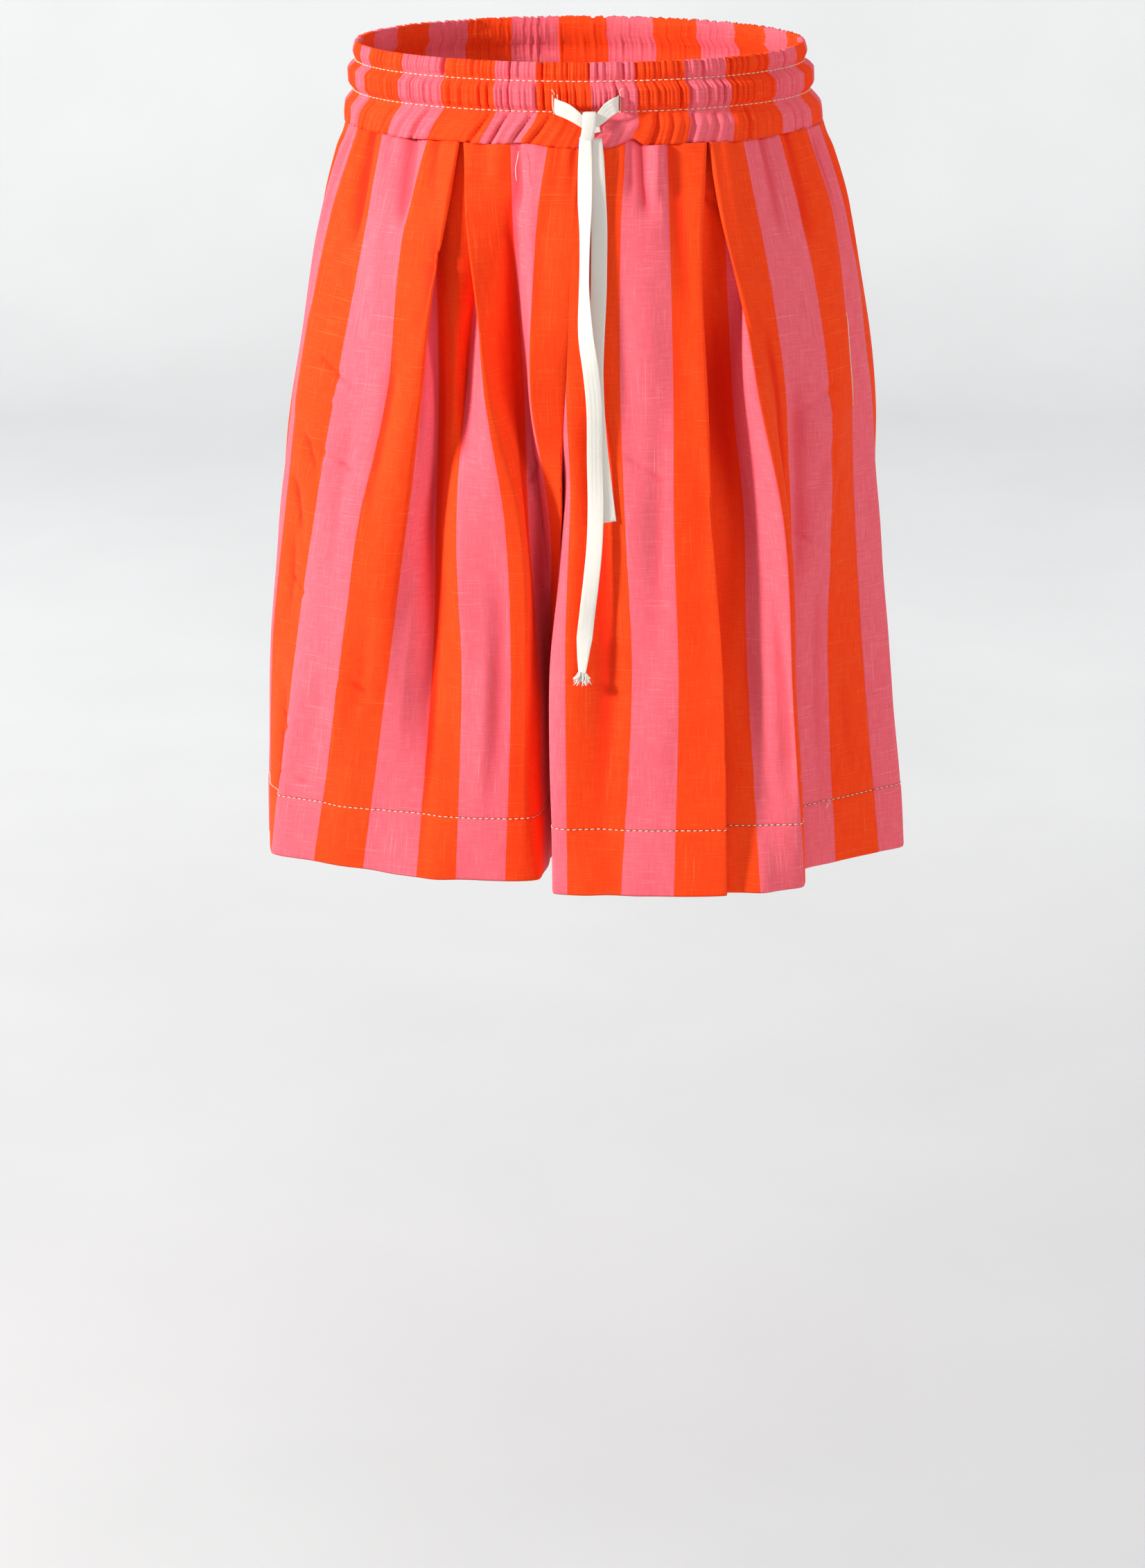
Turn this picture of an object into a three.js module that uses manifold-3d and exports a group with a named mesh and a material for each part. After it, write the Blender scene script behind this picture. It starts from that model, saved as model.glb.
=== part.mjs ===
// Bermuda shorts in striped linen cloth, in the hollow form they have when worn.
// Millimetres, +Z up, the front faces -Y, and +X is to the right of whoever looks at the front.
// The origin is the middle of the waist, at the height of the elastic channel, where the wearer holds them.
// Left and right in the names are those of whoever looks at the front.
//
// A panel is described by its grain lines: a row for each line or fold, with its distance on the flat cloth
// from the middle of the garment, and where it runs (x, y) at each of the six named heights.
import * as THREE from "three";
import { mergeVertices } from "three/addons/utils/BufferGeometryUtils.js";
import Module from "manifold-3d";

const CLOTH = 1.0; // one layer of the linen
const HEM_TURN = 0.8; // the turned-up layer inside the hem
const HEM_DEPTH = 49; // from the fold of the hem up to its stitching
const GAP = 0.3; // between pieces that are sewn together
const SEAM_SETBACK = 0.35; // each panel stops this far short of a seam line
const SIDE_SETBACK = 0.5; // and of a side seam, where the panels meet at an angle
const FORK_SPREAD = 0.75; // the layers that lie side by side in the seat seam are this far from its middle
const SOFTNESS = { crease: 1.8, plain: 9, growth: 0.3 }; // how far a bend is rounded, each way

// Heights of the sections that the tables give.
const HEIGHT = { waistSeam: -31, yoke: -90, hip: -194, fork: -290, thigh: -400, hem: -557 };
const LEVELS = Object.values(HEIGHT);

const FRONT_WIDTH = 313; // flat, from the centre front to the side seam
const FRONT_FORK = 70; // flat, how far the front reaches past the centre line at the fork
const BACK_WIDTH = 326;
const BACK_FORK = 120;

// Waistband: rings from the seam up, with the half widths to the sides, front and back.
const BAND_WALL = 2.2;
const BAND = [
  { z: -30.7, side: 165, front: 112, back: 118, middle: 1.8, ruffle: 0.7 },
  { z: -19, side: 163.8, front: 111.6, back: 117.6, middle: 1.2, ruffle: 1.3 },
  { z: -9, side: 157.4, front: 105.6, back: 111.6, middle: 0.2, ruffle: 0.4 },
  { z: -3.5, side: 160, front: 108.6, back: 114.6, middle: 0, ruffle: 1.0 },
  { z: 5, side: 160, front: 108.6, back: 114.6, middle: -0.3, ruffle: 1.0 },
  { z: 11, side: 154.4, front: 103.6, back: 109.6, middle: -1, ruffle: 0.4 },
  { z: 17, side: 155.6, front: 105, back: 111, middle: -1, ruffle: 1.2 },
  { z: 23.2, side: 153.8, front: 103.8, back: 109.8, middle: -1, ruffle: 1.5 },
];
const BAND_TUCKS = 68;
const BAND_COLUMNS = 204;

// Grain lines of the right front.
const FRONT_RIGHT = [
  { flat: -70, x: [1, -4, -10.5, -11.5, -9, -10], y: [-112, -120, -100, -56, -66, -74] },
  { flat: -14, x: [0, -5, -11, -12, -20.5, -19], y: [-112, -121, -121, -112, -121, -127] },
  { flat: 0, x: [-1, -6, -7, -5.5, -5, -5], y: [-112, -122, -127, -126, -130, -131] },
  { flat: 32, x: [29, 26, 26, 30, 35, 28], y: [-110.5, -121, -130, -132, -132, -132] },
  { flat: 68, x: [57, 59, 62, 63, 67, 65], y: [-105.5, -117, -128, -132, -132, -133] },
  { flat: 97, x: [83, 81, 84, 90, 98.5, 102.5], y: [-97.5, -112, -126, -131, -132, -131.5] },
  { flat: 100.5, x: [82.5, 80.5, 84.5, 90, 98.5, 102.5], y: [-94.8, -109, -122.8, -127.8, -128.8, -127.8] },
  { flat: 125, x: [54, 56, 74, 76, 84, 84], y: [-103.4, -113, -102, -112, -118, -125.5] },
  { flat: 128.5, x: [54.5, 57, 75, 77.5, 85.5, 85], y: [-100.6, -110, -98.5, -108.7, -114.8, -122] },
  { flat: 161, x: [84, 84, 93, 101, 105, 111], y: [-92, -103, -93, -104.5, -112, -125] },
  { flat: 176, x: [98, 97, 103, 112, 116, 126.5], y: [-85.8, -99, -98, -108, -113, -127] },
  { flat: 191, x: [112, 110, 109.5, 123, 129, 140], y: [-77.6, -94, -110, -118, -121, -122] },
  { flat: 194.5, x: [111.5, 110.5, 111, 126, 132, 143], y: [-80.4, -97, -113, -120, -122.5, -121] },
  { flat: 212, x: [94, 103, 119, 138.5, 146.5, 157.5], y: [-89.8, -105, -126, -128, -127, -113] },
  { flat: 220, x: [87, 97.5, 123, 142, 149, 158.5], y: [-93.4, -108.6, -123, -122, -119, -105] },
  { flat: 223.5, x: [86, 97, 125, 141.5, 148, 156.5], y: [-96, -111.6, -121, -119, -116, -102] },
  { flat: 232, x: [93.5, 104, 130, 136, 140, 150], y: [-93.2, -109, -114, -111, -107, -95] },
  { flat: 250, x: [110.5, 123, 140, 146, 149, 159], y: [-84.6, -98, -105, -100, -91.5, -78] },
  { flat: 284, x: [135, 152, 168.7, 174, 174.5, 183], y: [-66.6, -75, -86, -84, -77, -62] },
  { flat: 313, x: [153.4, 172.7, 185.5, 191, 199.7, 215.8], y: [-44.8, -52, -58, -55, -50, -41] },
];

// Grain lines of the left front.
const FRONT_LEFT = [
  { flat: -70, x: [-4, -8, -13.5, -12.5, -14.5, -18.5], y: [-112, -120, -100, -56, -6, 18] },
  { flat: 0, x: [-1, -7, -13, -14, -18, -20], y: [-112, -122, -123, -114, -62, -44] },
  { flat: 22, x: [-22.5, -31, -34, -21.5, -22, -21], y: [-111, -120.5, -128, -104, -70, -54] },
  { flat: 40, x: [-39, -42, -42, -27, -26, -24], y: [-108.4, -115, -112, -92, -82, -69] },
  { flat: 58, x: [-54.5, -50, -50.7, -35, -31, -27.5], y: [-105.2, -114, -104, -108, -97, -86] },
  { flat: 72, x: [-67.5, -63.5, -56.5, -37.5, -35, -31], y: [-101.4, -115, -116, -122, -111, -98] },
  { flat: 84, x: [-79.5, -76.5, -61.5, -42, -39, -42], y: [-97, -111.5, -126, -127.5, -119, -101] },
  { flat: 87.5, x: [-79.2, -77, -63, -45.5, -42, -46], y: [-94.3, -108.5, -128, -128.5, -120, -101.5] },
  { flat: 94, x: [-73, -72, -65.5, -52, -48.6, -53.8], y: [-96.6, -108, -128, -129, -121, -102] },
  { flat: 112, x: [-56, -58.5, -71, -69, -66, -71], y: [-102, -105.5, -114, -127.5, -120.5, -101.5] },
  { flat: 115.5, x: [-56.5, -60, -72.5, -72, -69, -75], y: [-99.2, -102.5, -111, -127, -120, -101] },
  { flat: 130, x: [-67, -68, -78, -84.8, -83, -89], y: [-96, -100.5, -100, -124, -118, -100] },
  { flat: 150, x: [-84, -84.5, -87, -93, -95, -104], y: [-90, -101.5, -110, -109, -107, -97] },
  { flat: 166, x: [-96, -98, -97.5, -100.3, -104, -117], y: [-84.6, -96, -100, -99, -99, -94] },
  { flat: 183, x: [-107, -111.5, -103, -109, -120, -137], y: [-77.4, -91.5, -111, -110, -107, -86] },
  { flat: 186.5, x: [-106.5, -111, -104, -111, -123, -140.5], y: [-80.4, -94.5, -113.5, -112, -108.5, -84] },
  { flat: 208.5, x: [-84.5, -95, -110, -124, -140, -163], y: [-92, -106, -126, -121, -111, -74] },
  { flat: 212, x: [-82.8, -94, -113, -127, -144, -167], y: [-95.4, -109, -126, -121, -110.5, -72.5] },
  { flat: 238, x: [-104, -120, -132, -153, -168, -192], y: [-85.6, -93, -112, -109, -99, -60] },
  { flat: 274, x: [-132.5, -146, -166.8, -184.5, -202, -224], y: [-63.5, -71, -92, -90, -76, -42] },
  { flat: 310, x: [-152, -171.5, -193, -206, -219, -227], y: [-37, -36, -60, -58, -44, -8] },
  { flat: 313, x: [-153, -173, -194, -207, -220, -227], y: [-35, -33, -57, -55, -41, -5] },
];

// Grain lines of the right back, measured from the centre back.
const BACK_RIGHT = [
  { flat: -120, x: [3, 3, -5, -11.5, -9, -10], y: [118, 124, 60, -56, -66, -74] },
  { flat: -65, x: [3, 3, -1, -7, -4, -5], y: [118, 124, 100, 0, -10, -26] },
  { flat: -10, x: [2, 2, 1, -1, 1, 0], y: [118, 124, 116, 58, 45, 22] },
  { flat: 30, x: [30, 31, 33, 14, 18, 16], y: [116.4, 122.5, 123, 98, 80, 54] },
  { flat: 75, x: [67, 72, 80, 52, 58, 58], y: [108.4, 115, 121, 116, 96, 60] },
  { flat: 120, x: [103, 112, 123, 99, 105, 104], y: [93.5, 98, 106, 113, 88, 72] },
  { flat: 170, x: [136.5, 149, 164, 147, 156, 158], y: [68.5, 71, 79, 94, 80, 58] },
  { flat: 220, x: [160, 175.5, 194, 189, 201, 209], y: [33.5, 35, 38, 55, 40, 36] },
  { flat: 265, x: [167, 185.5, 205, 209, 222, 234], y: [-1, -2, -2, 8, -4, -4] },
  { flat: 300, x: [162, 181.5, 201, 210, 220, 235], y: [-28, -32, -36, -28, -31, -27] },
  { flat: 326, x: [153.4, 172.7, 185.5, 191, 199.7, 215.8], y: [-44.8, -52, -58, -55, -50, -41] },
];

// Grain lines of the left back, measured from the centre back.
const BACK_LEFT = [
  { flat: -120, x: [1, 1, -9, -12.5, -14.5, -18.5], y: [118, 124, 60, -56, -6, 18] },
  { flat: -65, x: [1, 1, -5, -17, -20, -19], y: [118, 124, 100, 0, 46, 68] },
  { flat: -10, x: [2, 2, 0, -18, -30, -38], y: [118, 124, 116, 60, 90, 97] },
  { flat: 30, x: [-21, -22, -30, -34, -62, -72], y: [116.4, 122.5, 123, 100, 100, 84] },
  { flat: 75, x: [-58.5, -63, -73, -71, -92, -98], y: [108.4, 115, 121, 116, 120, 110] },
  { flat: 120, x: [-94.5, -103, -113, -114, -126, -136], y: [93.5, 98, 106, 110, 98, 98] },
  { flat: 170, x: [-128.5, -140, -153, -158, -166, -172], y: [68.5, 71, 80, 86, 96, 104] },
  { flat: 220, x: [-153, -166, -184, -194, -203, -209], y: [33.5, 36, 42, 46, 55, 66] },
  { flat: 265, x: [-162.5, -178, -195, -209, -218, -226], y: [3, 4, 4, 2, 14, 28] },
  { flat: 300, x: [-158.5, -177, -198, -211, -221, -229], y: [-20, -18, -32, -31, -16, 8] },
  { flat: 326, x: [-153, -173, -194, -207, -220, -227], y: [-35, -33, -57, -55, -41, -5] },
];

// Inseams from the fork down, each shared by one leg's front and back.
const INSEAM_RIGHT = { z: [-290, -312, -400, -557], x: [-11.25, -9.6, -9, -10], y: [-56, -58, -66, -74] };
const INSEAM_LEFT = { z: [-290, -312, -400, -557], x: [-12.75, -13, -14.5, -18.5], y: [-56, -46, -6, 18] };
const SPREAD_FROM = -170; // the centre seams turn from flat to upright between these heights
const SPREAD_TO = -225;
const SEAM_PULL = 24; // how far from a seam the cloth is drawn to it
const CREASE_STEP = 5; // two grain lines closer than this hold a crease
// How far each panel has grown past the centre line at each height, as a share of its fork.
const FORK_GROWTH = { z: [-31, -150, -194, -235, -268, -290], share: [0, 0, 0.1, 0.28, 0.6, 1] };

// Soft troughs and gathers: where on the flat, how wide, how deep, and the heights where they run out.
const GATHERS = { pitch: 34, depth: 2.6, fadeFrom: -48, fadeTo: -165, atSeam: 0.35 };
const PUCKERS_RIGHT = [
  { flat: 50, wide: 7, deep: 3.2, down: -85 },
  { flat: 268, wide: 9, deep: 2.6, down: -110 },
];
const PUCKERS_LEFT = [
  { flat: 52, wide: 8, deep: 2.2, down: -80 },
  { flat: 250, wide: 8, deep: 3.4, down: -95 },
  { flat: 292, wide: 8, deep: 3.0, down: -115 },
];

// Pocket opening in each side seam, and the strip of pocket bag behind it.
const POCKET = { top: -148, bottom: -230, spread: 3.2, gape: 1.6, past: 4, reach: 16, wall: 1, behind: 1.1 };

// Drawstring: flat tape 11 mm wide.
const TAPE = { width: 11, thick: 1.4, step: 12 };
const HOLE = { left: -17.5, right: 24.4, z: -3.6, tall: 13, wide: 2.4, deep: 16 };
const BRIDGE_LEFT = [
  { x: -17.5, y: -105.6, z: -4.5, width: 10 },
  { x: -16.2, y: -112.2, z: -5.0, width: 10 },
  { x: -10, y: -113.4, z: -7.2, width: 9 },
  { x: -3, y: -114.6, z: -11.5, width: 8 },
];
const BRIDGE_RIGHT = [
  { x: 24.4, y: -105.6, z: -3, width: 10 },
  { x: 23, y: -112, z: -3.4, width: 10 },
  { x: 18, y: -113.4, z: -6.4, width: 9 },
  { x: 13.2, y: -114.8, z: -11, width: 8 },
];
const KNOT = { x: 5.2, y: -115.6, z: -16.8, wide: 14.2, tall: 16.4, deep: 6.4 };
const TAIL_LONG = [
  { x: 2.6, y: -118.5, z: -23.9 }, { x: 2.4, y: -121.4, z: -45 }, { x: 2.3, y: -124, z: -66 },
  { x: 2.3, y: -126, z: -85 }, { x: 2, y: -128.8, z: -106 }, { x: 1.8, y: -131.4, z: -128 },
  { x: 3, y: -134, z: -155 }, { x: 6.5, y: -136.2, z: -180 }, { x: 8.8, y: -136.8, z: -205 },
  { x: 9.2, y: -136.6, z: -240 }, { x: 9.8, y: -136.6, z: -272 }, { x: 9, y: -136.4, z: -300 },
  { x: 6.8, y: -136, z: -325 }, { x: 4, y: -135.8, z: -350 }, { x: 1.8, y: -135.6, z: -372 },
  { x: 0.6, y: -135.6, z: -392 },
];
const TAIL_SHORT = [
  { x: 9.6, y: -116.2, z: -25 }, { x: 10.2, y: -118, z: -35 }, { x: 10.6, y: -119.6, z: -45 },
  { x: 11.2, y: -121.7, z: -64 }, { x: 11.8, y: -123.8, z: -85 }, { x: 11.7, y: -125.9, z: -106 },
  { x: 11.4, y: -128, z: -128 }, { x: 10.2, y: -130.8, z: -155 }, { x: 9.4, y: -132.6, z: -180 },
  { x: 10.2, y: -133.6, z: -205 }, { x: 11.3, y: -133.9, z: -220 }, { x: 12.6, y: -134.2, z: -235 },
  { x: 14.2, y: -134.4, z: -248 }, { x: 15.8, y: -134.6, z: -262 }, { x: 17.1, y: -134.6, z: -273 },
  { x: 18.4, y: -134.6, z: -284 },
];

const LINEN = { roughness: 0.85, metalness: 0 };
const ORANGE = new THREE.MeshStandardMaterial({ color: 0xf4602a, ...LINEN, name: "linen_orange" });
const PINK = new THREE.MeshStandardMaterial({ color: 0xf48aa4, ...LINEN, name: "linen_pink" });
const COTTON = new THREE.MeshStandardMaterial({ color: 0xf2ede0, ...LINEN, name: "cotton_tape" });

const clamp01 = (v) => Math.min(1, Math.max(0, v));
const ease = (v) => clamp01(v) ** 2 * (3 - 2 * clamp01(v));

// A smooth curve through values at rising or falling stations, with flat ends beyond them.
function smoothAt(stations, values, at) {
  const last = stations.length - 1;
  const side = Math.sign(stations[last] - stations[0]);
  let i = 0;
  while (i < last - 1 && side * (at - stations[i + 1]) > 0) i++;
  const slope = (k) => {
    const a = Math.max(0, k - 1);
    const b = Math.min(last, k + 1);
    return (values[b] - values[a]) / (stations[b] - stations[a]);
  };
  const span = stations[i + 1] - stations[i];
  const f = clamp01((at - stations[i]) / span);
  const f2 = f * f;
  const f3 = f2 * f;
  return (
    values[i] * (2 * f3 - 3 * f2 + 1) +
    slope(i) * span * (f3 - 2 * f2 + f) +
    values[i + 1] * (3 * f2 - 2 * f3) +
    slope(i + 1) * span * (f3 - f2)
  );
}

// Straight lines through values, running on past both ends.
function straightAt(stations, values, at) {
  let i = 0;
  while (i < stations.length - 2 && at > stations[i + 1]) i++;
  const f = (at - stations[i]) / (stations[i + 1] - stations[i]);
  return values[i] + (values[i + 1] - values[i]) * f;
}

// The same lines with their corners rounded: a weighted mean over a short stretch of cloth.
const TAPS = [-1, -0.6, -0.2, 0.2, 0.6, 1];
const TAP_WEIGHTS = TAPS.map((k) => 1.2 - Math.abs(k));
const TAP_SUM = TAP_WEIGHTS.reduce((a, b) => a + b, 0);
function softAt(stations, values, at, soft) {
  const taps = TAPS.map((k, i) => TAP_WEIGHTS[i] * straightAt(stations, values, at + k * soft));
  return taps.reduce((a, b) => a + b, 0) / TAP_SUM;
}

const seamAt = (seam, z) => ({ x: smoothAt(seam.z, seam.x, z), y: smoothAt(seam.z, seam.y, z) });

// A panel's section at one height, before its edges are brought to their seams.
function sectionOf({ rows, fork }, z) {
  const flats = rows.map((row) => row.flat);
  const xs = rows.map((row) => smoothAt(LEVELS, row.x, z));
  const ys = rows.map((row) => smoothAt(LEVELS, row.y, z));
  const creases = flats.filter((f, k) => k > 0 && f - flats[k - 1] < CREASE_STEP);
  const start = -fork * smoothAt(FORK_GROWTH.z, FORK_GROWTH.share, Math.max(z, HEIGHT.fork));
  const at = (flat) => {
    const nearest = Math.min(...creases.map((f) => Math.abs(flat - f)), 1e3);
    const soft = Math.min(SOFTNESS.plain, SOFTNESS.crease + SOFTNESS.growth * nearest);
    return { x: softAt(flats, xs, flat, soft), y: softAt(flats, ys, flat, soft) };
  };
  return { start, at };
}

// Where a panel's inner edge goes: midway between the two panels' own edges above the fork, the inseam below.
function innerSeam(panel, z) {
  if (z <= HEIGHT.fork) return seamAt(panel.inseam, z);
  const ends = [panel, PANELS[panel.partner]].map((one) => {
    const section = sectionOf(one, z);
    return section.at(section.start);
  });
  const apart = FORK_SPREAD * ease((SPREAD_FROM - z) / (SPREAD_FROM - SPREAD_TO));
  return { x: (ends[0].x + ends[1].x) / 2 + panel.hand * apart, y: (ends[0].y + ends[1].y) / 2 };
}

// A panel as a surface: a point for each place on the flat cloth and each height.
function panelSurface(panel) {
  return (z) => {
    const { start, at: raw } = sectionOf(panel, z);
    const startSeam = innerSeam(panel, z);
    const endSeam = seamAt(panel.side, z);
    const a = raw(start);
    const b = raw(panel.width);
    return {
      start,
      at(flat) {
        const p = raw(flat);
        const pullStart = 1 - ease((flat - start) / SEAM_PULL);
        const pullEnd = 1 - ease((panel.width - flat) / SEAM_PULL);
        p.x += pullStart * (startSeam.x - a.x) + pullEnd * (endSeam.x - b.x);
        p.y += pullStart * (startSeam.y - a.y) + pullEnd * (endSeam.y - b.y);
        p.rise = panel.relief(flat, z) * (1 - pullStart) * (1 - pullEnd);
        return p;
      },
    };
  };
}

// Reliefs push the cloth out (plus) or in (minus) from its section.
const puckers = (list) => (flat, z) =>
  list.reduce((sum, p) => {
    const run = clamp01((z - p.down) / (HEIGHT.waistSeam - p.down));
    const across = Math.exp(-(((flat - p.flat) / p.wide) ** 2));
    const downwards = run > 0 ? Math.sin((Math.PI * (1 + 3 * run)) / 4) : 0;
    return sum - p.deep * across * downwards;
  }, 0);
function gathers(flat, z) {
  const grow = ease((HEIGHT.waistSeam - z) / (HEIGHT.waistSeam - GATHERS.fadeFrom));
  const fade = 1 - ease((GATHERS.fadeFrom - z) / (GATHERS.fadeFrom - GATHERS.fadeTo));
  const wave = Math.sin((2 * Math.PI * (flat + 5 * Math.sin(flat / 37))) / GATHERS.pitch);
  return GATHERS.depth * (GATHERS.atSeam + (1 - GATHERS.atSeam) * grow) * fade * wave;
}

// Closes a wall between an outer and an inner grid of points: rows of equal length, open on all four sides.
function closedWall(outer, inner) {
  const rows = outer.length;
  const columns = outer[0].length;
  const positions = [...outer.flat(), ...inner.flat()].flatMap((p) => [p.x, p.y, p.z]);
  const index = [];
  const o = (r, c) => r * columns + c;
  const i = (r, c) => rows * columns + o(r, c);
  const quad = (a, b, c, d) => index.push(a, b, c, a, c, d);
  const across = columns - 1;
  for (let r = 0; r < rows - 1; r++)
    for (let c = 0; c < across; c++) {
      quad(o(r, c), o(r + 1, c), o(r + 1, c + 1), o(r, c + 1));
      quad(i(r, c), i(r, c + 1), i(r + 1, c + 1), i(r + 1, c));
    }
  for (let c = 0; c < across; c++) {
    quad(o(0, c), o(0, c + 1), i(0, c + 1), i(0, c));
    quad(o(rows - 1, c), i(rows - 1, c), i(rows - 1, c + 1), o(rows - 1, c + 1));
  }
  for (let r = 0; r < rows - 1; r++) {
    quad(o(r, 0), i(r, 0), i(r + 1, 0), o(r + 1, 0));
    quad(o(r, across), o(r + 1, across), i(r + 1, across), i(r, across));
  }
  return new THREE.BufferGeometry()
    .setAttribute("position", new THREE.Float32BufferAttribute(positions, 3))
    .setIndex(index);
}

// Heights of a panel's rows of points, from just under the waistband to the fold of the hem.
const STITCH_LINE = HEIGHT.hem + HEM_DEPTH;
const PANEL_HEIGHTS = [
  HEIGHT.waistSeam - GAP / 2, -52, -80, -115, -150, -166, HEIGHT.hip, -216, -235, -268, HEIGHT.fork,
  -340, HEIGHT.thigh, -455, STITCH_LINE + 1, STITCH_LINE - 1, HEIGHT.hem,
];
const COLUMN_STEP = 11.5;
const FORK_COLUMN_STEP = 24;

// Places along the flat where a panel has columns of points, closer at its folds.
function columnsOf(rows, start, width) {
  const marks = rows.map((row) => row.flat).filter((f) => f > start + 3 && f < width - 2);
  const stops = [start, ...marks, width];
  const places = [];
  stops.slice(0, -1).forEach((from, k) => {
    const span = stops[k + 1] - from;
    const pieces = Math.max(1, Math.round(span / (stops[k + 1] <= 0 ? FORK_COLUMN_STEP : COLUMN_STEP)));
    for (let j = 0; j < pieces; j++) places.push(from + (span * j) / pieces);
  });
  return [...places, width];
}

// A panel's middle surface as points and outward directions, at one height.
function panelRow(panel, surface, z) {
  const here = surface(z);
  const below = surface(z - 1);
  const open = ease((POCKET.top - z) / 14) * ease((z - POCKET.bottom) / 14);
  const pocketOpen = panel.isFront ? open : 0;
  const first = here.start + SEAM_SETBACK;
  const last = panel.width - SIDE_SETBACK - POCKET.spread * pocketOpen;
  const middle = (flat) => {
    const p = here.at(flat);
    const q = below.at(flat);
    const [before, after] = [-0.8, 0.8].map((d) => here.at(flat + d));
    const along = new THREE.Vector3(after.x - before.x, after.y - before.y, 0);
    const down = new THREE.Vector3(q.x - p.x, q.y - p.y, -1);
    const out = new THREE.Vector3().crossVectors(along, down).multiplyScalar(-panel.turn).normalize();
    const gape = POCKET.gape * pocketOpen * ease(1 - (panel.width - flat) / 30);
    return { point: new THREE.Vector3(p.x, p.y, z).addScaledVector(out, p.rise + gape), out };
  };
  return { first, last, start: here.start, middle };
}

// A panel's solid: its surface moved half a layer out and in, and a turned-up layer more inside the hem.
function panelGeometry(panel) {
  const surface = panelSurface(panel);
  const places = columnsOf(panel.rows, -panel.fork, panel.width);
  const hinge = panel.rows.find((row) => row.flat > 20).flat; // columns before it spread as the fork grows
  const outer = [];
  const inner = [];
  PANEL_HEIGHTS.forEach((z, k) => {
    const row = panelRow(panel, surface, z);
    const inward = CLOTH / 2 + (z < STITCH_LINE ? HEM_TURN : 0);
    const isEnd = k === 0 || k === PANEL_HEIGHTS.length - 1;
    const points = places.map((flat) => {
      const share = (flat + panel.fork) / (hinge + panel.fork);
      const spread = flat < hinge ? row.start + share * (hinge - row.start) : flat;
      return row.middle(Math.min(row.last, Math.max(row.first, spread)));
    });
    const moved = (by) => points.map(({ point, out }) => {
      const p = point.clone().addScaledVector(out, by);
      return isEnd ? p.setZ(z) : p;
    });
    outer.push(moved(CLOTH / 2));
    inner.push(moved(-inward));
  });
  if (panel.turn < 0) [outer, inner].forEach((grid) => grid.forEach((row) => row.reverse()));
  return closedWall(outer, inner);
}

// A strip of pocket bag behind the opening in the side seam, made from the front's points moved in.
function pocketGeometry(panel) {
  const surface = panelSurface(panel);
  const steps = 10;
  const outer = [];
  const inner = [];
  for (let k = 0; k <= steps; k++) {
    const z = POCKET.top + POCKET.past - ((POCKET.top - POCKET.bottom + 2 * POCKET.past) * k) / steps;
    const flats = [1, 0.75, 0.5, 0.25, 0].map((f) => panel.width - 2 * SIDE_SETBACK - f * POCKET.reach);
    const { middle } = panelRow({ ...panel, isFront: false }, surface, z);
    const points = flats.map(middle);
    const movedIn = (by) => points.map(({ point, out }) => point.clone().addScaledVector(out, -by));
    outer.push(movedIn(POCKET.behind));
    inner.push(movedIn(POCKET.behind + POCKET.wall));
  }
  if (panel.turn < 0) [outer, inner].forEach((grid) => grid.forEach((row) => row.reverse()));
  return closedWall(outer, inner);
}

// A surface through loops of points, closed on itself all round (a ring) or capped at both ends (a bar).
function closedLoops(loops, isRing) {
  const count = loops[0].length;
  const positions = loops.flat().flatMap((p) => [p.x, p.y, p.z]);
  const index = [];
  const at = (k, j) => (k % loops.length) * count + (j % count);
  for (let k = 0; k < loops.length - (isRing ? 0 : 1); k++)
    for (let j = 0; j < count; j++)
      index.push(at(k, j), at(k + 1, j + 1), at(k, j + 1), at(k, j), at(k + 1, j), at(k + 1, j + 1));
  if (!isRing)
    for (let j = 1; j < count - 1; j++) {
      index.push(at(0, 0), at(0, j), at(0, j + 1));
      const end = loops.length - 1;
      index.push(at(end, 0), at(end, j + 1), at(end, j));
    }
  return new THREE.BufferGeometry()
    .setAttribute("position", new THREE.Float32BufferAttribute(positions, 3))
    .setIndex(index);
}

// The waistband: an oval ring whose wall swells between its rows of stitching and is tucked all round.
function bandGeometry() {
  const ringPoint = (row, angle, by) => {
    const deep = Math.cos(angle) > 0 ? row.front : row.back;
    const x = row.middle + (row.side + by) * Math.sin(angle);
    return new THREE.Vector3(x, -(deep + by) * Math.cos(angle), row.z);
  };
  const tuck = (angle, level) => {
    const turns = (BAND_TUCKS * angle) / (2 * Math.PI);
    return Math.sin(2 * Math.PI * (turns + 0.3 * Math.sin(5 * angle + level) + 0.17 * Math.sin(11 * angle)));
  };
  const loops = [];
  for (let c = 0; c < BAND_COLUMNS; c++) {
    const angle = (2 * Math.PI * c) / BAND_COLUMNS;
    const outer = BAND.map((row, k) => ringPoint(row, angle, row.ruffle * tuck(angle, k > 5 ? 2 : 0)));
    const inner = BAND.filter((row) => row.ruffle < 0.8 || row === BAND.at(-1)).reverse()
      .map((row) => ringPoint(row, angle, -BAND_WALL));
    loops.push([...outer, ...inner]);
  }
  return closedLoops(loops, true);
}

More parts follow.
